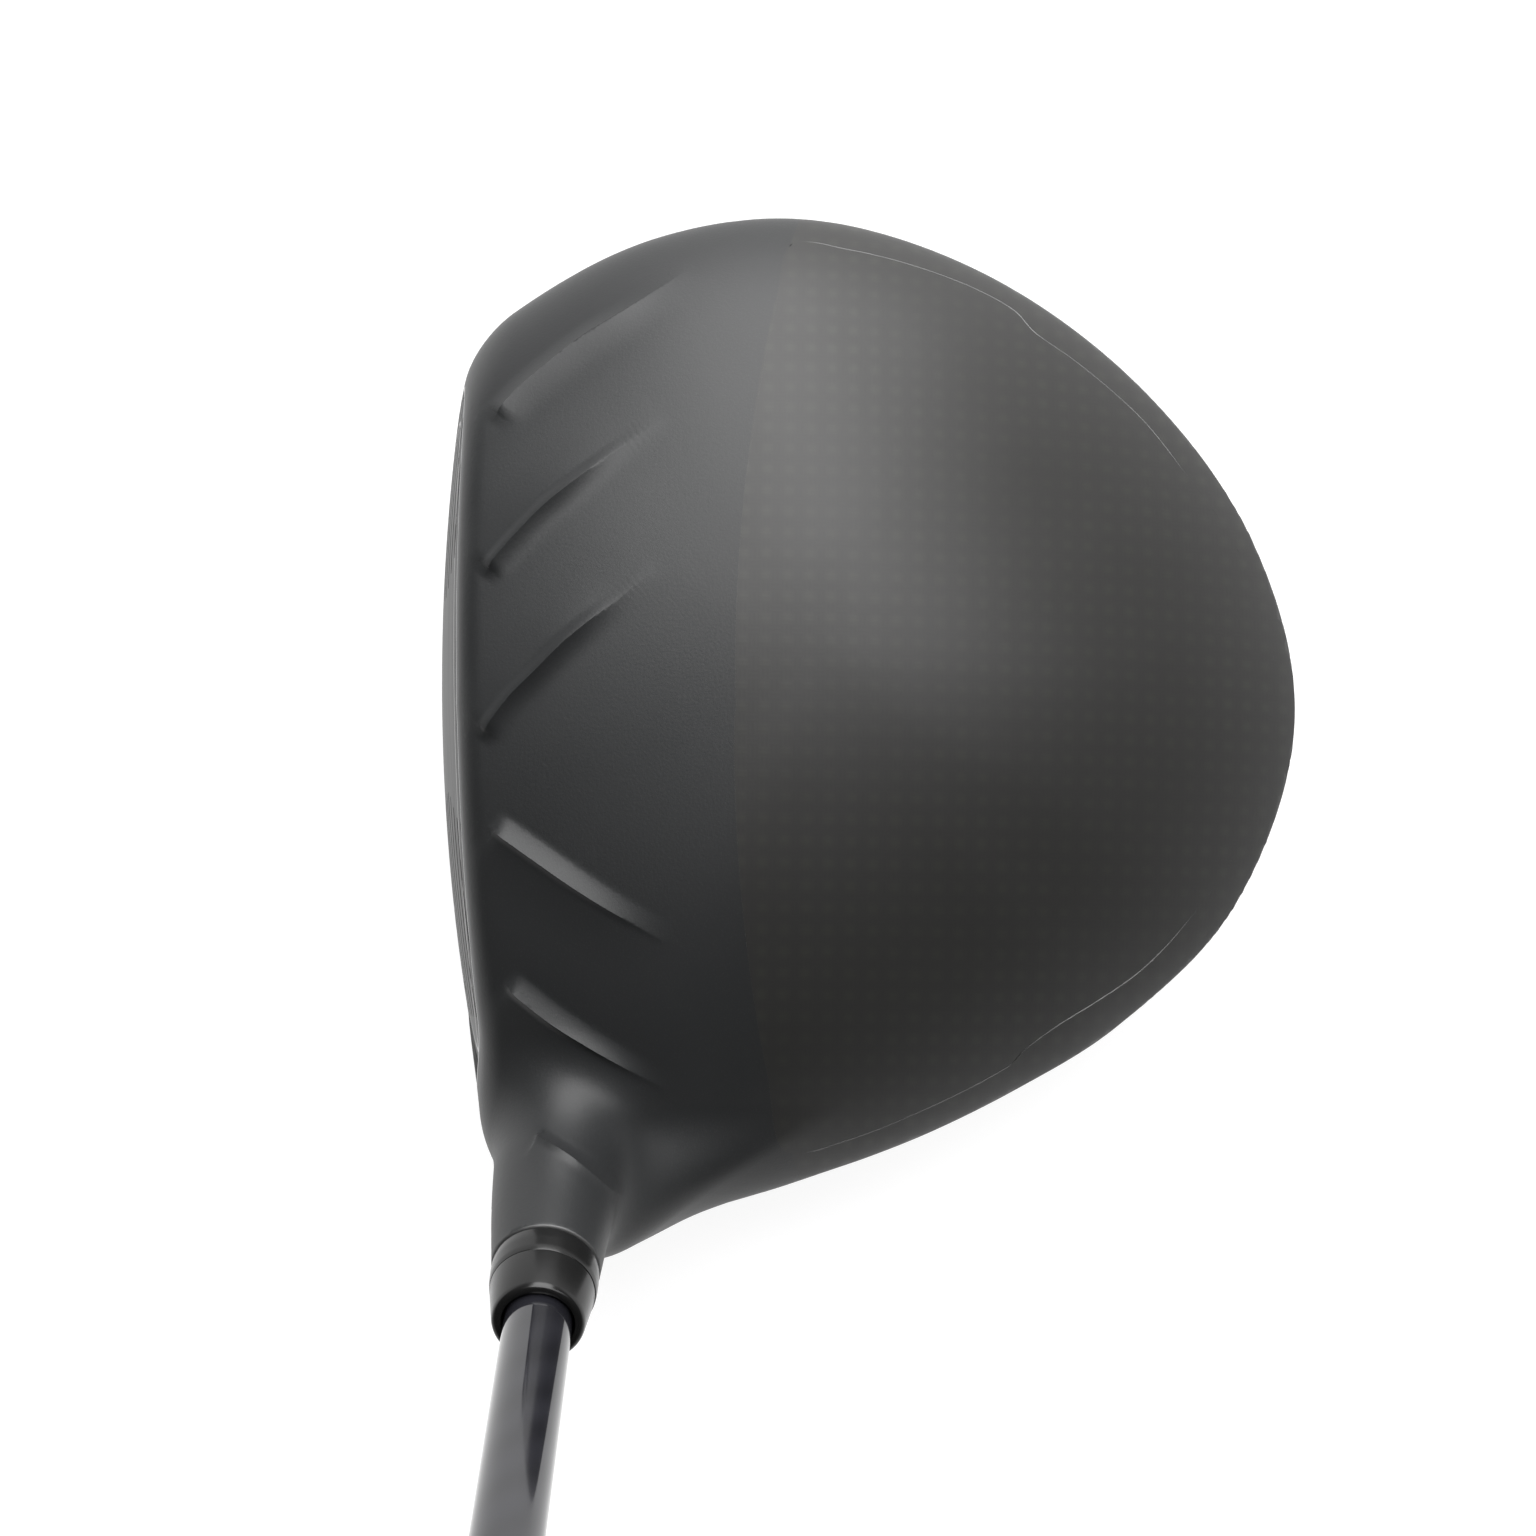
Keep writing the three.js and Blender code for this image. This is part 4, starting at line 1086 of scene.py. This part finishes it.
# --- face plate
FACE_LOW = 8.0
FACE_HIGH = 56.0
PAINTED_RING = 3.0
HIGHLIGHT_LINE_WIDTH = 0.4
GROOVE_HALF = 0.42
GROOVE_DEPTH = 0.28
GROOVE_SPACING = 4.2
GROOVE_LINES = [10.5]
while GROOVE_LINES[-1] + GROOVE_SPACING < 54:
    GROOVE_LINES.append(GROOVE_LINES[-1] + GROOVE_SPACING)


def face_grid():
    """Points and faces of the curved face and how far each point sinks, with rows beside each score line."""
    rows = [FACE_LOW]
    for z in GROOVE_LINES:
        rows += [z + GROOVE_HALF * k for k in (-1, -0.45, 0.45, 1)]
        rows += list(np.linspace(z + GROOVE_HALF, z + GROOVE_SPACING - GROOVE_HALF, 5)[1:-1])
    rows.append(FACE_HIGH)
    x, zz = np.meshgrid(np.arange(-52, 78.01, 0.8), rows)
    sunk = np.zeros_like(x)
    across = np.abs(x - FACE_CENTRE[0])
    for z in GROOVE_LINES:
        start = 17 - 3 * np.cos((z - FACE_CENTRE[1]) / 9)
        sunk[(np.abs(zz - z) < GROOVE_HALF * 0.5) & (across > start) & (across < 44)] = GROOVE_DEPTH
    index = np.arange(x.size).reshape(x.shape)
    faces = quad_faces(index[:-1, :-1], index[:-1, 1:], index[1:, 1:], index[1:, :-1])
    return np.stack([x, face_y(x, zz), zz, sunk], axis=-1).reshape(-1, 4), faces


def make_face():
    marked, faces = face_grid()
    gap = 0.04

    def level(q):
        return -dome_distance(q[:, :3]) - FACE_INSET - gap

    for ring in (0.0, PAINTED_RING, PAINTED_RING + HIGHLIGHT_LINE_WIDTH):
        marked, faces = cut_along(marked, faces, lambda q: level(q) - ring, 0.15)
    inside = level(marked[faces].mean(axis=1)) > 0
    marked, faces = compact(marked, faces[inside])
    p, sunk = marked[:, :3], marked[:, 3]
    normals = point_normals(p, faces)
    rim = np.clip(level(marked) / 0.3, 0, 1)
    front = p - normals * (sunk + CHAMFER * (1 - rim) ** 2)[:, None]
    points, triangles = thicken(front, faces, normals, FACE_PLATE_THICKNESS - 0.35)
    inset = level(marked[faces].mean(axis=1))
    kinds = np.zeros(len(triangles), int)
    # Kind 3 is a 0.4 mm line just inside the painted ring in the light edge metal: bare metal, with a painted
    # highlight of the plate's edge.
    kinds[:len(faces)] = np.where(inset < PAINTED_RING, 2, np.where(
        inset < PAINTED_RING + HIGHLIGHT_LINE_WIDTH, 3, (sunk[faces] > GROOVE_DEPTH / 2).all(axis=1)))
    add_mesh("face_plate_skin", points, triangles, "head", "face_metal",
             [FACE_METAL, GROOVE_PAINT, HEAD_PAINT, EDGE_HIGHLIGHT_METAL], ("face_plate",), kinds, sharp=30)


make_face()


# --- sole badge

# Blank domed disc in the sole with a raised rim and two turned rings.
p, faces = compact(skin, skin_faces[badge_at > BADGE_GAP])
for _ in range(2):
    p, faces = refine(p, faces, lambda middle: np.full(len(middle), 0.7))
normals = point_normals(p, faces)
r = np.hypot(p[:, 0] - BADGE_CENTRE[0], p[:, 1] - BADGE_CENTRE[1])
ring = 0.25 * smooth_step(11.2, 11.7, r) * (1 - smooth_step(13.2, 13.85, r))
ring += -0.22 * smooth_step(8.0, 8.4, r) * (1 - smooth_step(9.2, 9.6, r))
ring += 0.18 * (1 - smooth_step(3.4, 4.0, r))
top = p + normals * (ring - 0.12)[:, None]
points, triangles = thicken(top, faces, normals, BADGE_RECESS - 0.25)
add_mesh("badge_disc", points, triangles, "head", "badge_metal", [BADGE_METAL], ("sole_badge",), sharp=28)


# --- hosel: ring, sleeve, ferrule and shaft
# The shaft's bore in the sleeve is turned by CANT about the axis point at CANT_STATION.
CANT = math.radians(0.75)
CANT_STATION = 62.0
SHAFT_AXIS = np.array([math.cos(LIE + CANT), 0.0, math.sin(LIE + CANT)])
SHAFT_ORIGIN = HOSEL_GROUND + HOSEL_AXIS * CANT_STATION - SHAFT_AXIS * CANT_STATION
SHAFT = (SHAFT_ORIGIN, SHAFT_AXIS)
TIP_RADIUS = 4.3
BUTT_RADIUS = 7.62
TIP_PARALLEL_END = 124.0
TAPER_END = 1010.0

turned("ring_collar", [(5.75, 76.9), (6.86, 76.9), (6.9, 78.5), (6.86, 80.2), (6.74, 81.2), (5.75, 81.2)],
       HOSEL, "setting_ring", "dark_metal", [RING_BLACK], ("setting_ring",), 128, 0.14)
sleeve = turned("sleeve_body", [(0, 37.5), (4.85, 37.5), (5.45, 38.1), (5.45, 82.0), (0, 82.0)], HOSEL,
                "shaft_assembly", "dark_metal", [DARK_METAL, DARK_METAL, INNER_METAL], ("adapter_sleeve",))
cut_away(sleeve, [lathe([(0, 48), (4.6, 48), (4.6, 98), (0, 98)], *SHAFT, 64),
                  lathe([(0, 30), (2.6, 30), (2.6, 45.5), (0, 45.5)], *HOSEL, 48)])
turned("ferrule_body", [(4.6, 82.3), (5.75, 82.3), (5.75, 81.42), (6.68, 81.42), (5.88, 87.3),
                        (5.7, 87.8), (5.3, 88.0), (4.9, 88.0), (4.6, 87.85)],
       SHAFT, "shaft_assembly", "black_plastic", [RING_BLACK], ("ferrule",), 128, 0.25)


def shaft_radius(s):
    return np.interp(s, (TIP_PARALLEL_END, TAPER_END), (TIP_RADIUS, BUTT_RADIUS))

tip_wall = 1.15
wall = 0.95
stations = [48.7, 60, 82, 88.4, 100, 124, 160, 220, 300, 400, 500, 600, 700, 800, 900, 960, 1010, 1150]
outer = [(shaft_radius(s), s) for s in stations]
inner = [(shaft_radius(s) - (tip_wall if s <= TIP_PARALLEL_END else wall), s) for s in reversed(stations)]
profile = [(TIP_RADIUS - tip_wall, 48.3), (TIP_RADIUS - 0.3, 48.3)] + outer + inner[:-1]
tube = lathe(profile, *SHAFT)
add_mesh("shaft_tube", *tube, "shaft_assembly", "shaft_paint", [SHAFT_PAINT], ("shaft",))


# --- grip
GRIP_START = 889.0
GRIP_END = 1152.0
GRIP_STATIONS = (GRIP_START, 890.2, 949.0, 1029.0, 1104.0, 1139.0, 1150.0, GRIP_END)
GRIP_RADII = (8.6, 9.0, 9.5, 10.5, 11.9, 12.9, 13.45, 13.45)
PLAIN_BANDS = ((889, 897), (952, 956), (1018, 1022), (1084, 1088), (1143, 1153))
GROOVES_ROUND = 12
GROOVE_LEAD = 9.0
TAPE_CLEARANCE = 1.12

# Moulded sleeve: rows of small lozenge pads between plain bands, with grooves that spiral round it.
round_count = 180
stations = np.unique(np.concatenate([np.arange(GRIP_START, GRIP_END, 0.8),
                                     [GRIP_START, 889.6, 1151.4, GRIP_END]]))
angle, ring = circle(SHAFT_AXIS, round_count)
s, a = np.meshgrid(stations, angle, indexing="ij")
turns = a * GROOVES_ROUND / (2 * math.pi)
groove = np.maximum(*(smooth_step(0.40, 0.47, np.abs((turns + lead) % 1 - 0.5))
                      for lead in (s / GROOVE_LEAD, -s / GROOVE_LEAD)))
pads = np.ones_like(s)
for low, high in PLAIN_BANDS:
    pads *= 1 - smooth_step(low - 1, low, s) * (1 - smooth_step(high, high + 1, s))
front = smooth_step(0.30, 0.42, np.abs(((a - math.pi * 0.5 + math.pi) % (2 * math.pi)) - math.pi))
depth = 0.42 * groove * pads * front
ribs = 0.15 * smooth_step(0.55, 0.9, np.abs(np.sin(s * math.pi / 2.2))) * (1 - pads)
ends = 0.5 * (1 - smooth_step(GRIP_START, 891, s)) + 0.3 * smooth_step(1151, GRIP_END, s)
radius = np.interp(s, GRIP_STATIONS, GRIP_RADII) - depth - ribs - ends
bore = np.array((GRIP_END, TAPER_END, GRIP_START))
s = np.concatenate([stations, bore])
inner = np.tile(shaft_radius(bore) + TAPE_CLEARANCE, (round_count, 1)).T
radius = np.concatenate([radius, inner])
points = SHAFT_ORIGIN + s[:, None, None] * SHAFT_AXIS + radius[..., None] * ring
points = points.reshape(-1, 3)
low = np.arange(len(points)).reshape(-1, round_count)
high = np.roll(low, -1, axis=0)
quads = np.stack([low, np.roll(low, -1, axis=1), np.roll(high, -1, axis=1), high], axis=-1).reshape(-1, 4)
add_mesh("grip_sleeve", points, quads, "shaft_assembly", "grip_rubber", [GRIP_RUBBER], ("grip",),
         sharp=50)


turned("grip_cap", [(1.3, 1152.3), (13.4, 1152.3), (13.45, 1153.2), (12.9, 1155.1), (11.9, 1155.75),
                    (10.5, 1156.0), (9.2, 1156.0), (9.0, 1155.7), (8.2, 1155.7), (8.0, 1156.0), (2.6, 1156.0),
                    (1.7, 1155.6), (1.3, 1155.0)],
       SHAFT, "shaft_assembly", "grip_rubber", [GRIP_RUBBER], ("grip_end_cap",), 128, 0.3)


# --- screws
STAR_STEPS = 72
STAR_LOBES = 0.86 + 0.14 * np.cos(np.arange(STAR_STEPS) / STAR_STEPS * 2 * math.pi * 6)


def make_screw(name, node, profile, place, radius, bottom, top):
    """Turned steel screw with a six-lobed driver recess."""
    screw = turned(name, profile, place, node, "steel", [STEEL] * 3, (node,), 64)
    recess = [(0, bottom), (radius, bottom), (radius, top), (0, top)]
    cut_away(screw, [lathe(recess, *place, STAR_STEPS, STAR_LOBES)])


HEAD_TOP = 16.1
WEIGHT_SCREW_PLACE = (WEIGHT_SCREW * (1, 1, 0), np.array([0.0, 0.0, 1.0]))
make_screw("hosel_screw_body", "hosel_screw",
           [(0, 26.7), (3.3, 26.7), (3.9, 27.3), (3.9, 31.7), (2.3, 31.7), (2.3, 43.2), (1.6, 44), (0, 44)],
           HOSEL, 2.1, 24, 29.7)
make_screw("weight_screw_body", "weight_screw",
           [(0, HEAD_TOP - 2.4), (3.1, HEAD_TOP - 2.4), (3.5, HEAD_TOP - 2.0), (3.5, HEAD_TOP),
            (1.9, HEAD_TOP), (1.9, 23.8), (0, 23.8)],
           WEIGHT_SCREW_PLACE, 1.9, HEAD_TOP - 4, HEAD_TOP - 1)


# --- carried-over pieces
for node, material in (("rear_weight", WEIGHT_METAL), ("weight_pad", SOFT_PLASTIC), ("weight_washer", STEEL),
                       ("weight_nut", STEEL), ("screw_washer", STEEL), ("screw_retainer", SOFT_PLASTIC),
                       ("tip_plug", SOFT_PLASTIC), ("grip_tape", TAPE)):
    shown = frame["nodes"][node]
    if not shown.material_slots:
        shown.data.materials.append(material)
    for slot in shown.material_slots:
        slot.link = "OBJECT"
        slot.material = material

bpy.context.view_layer.update()
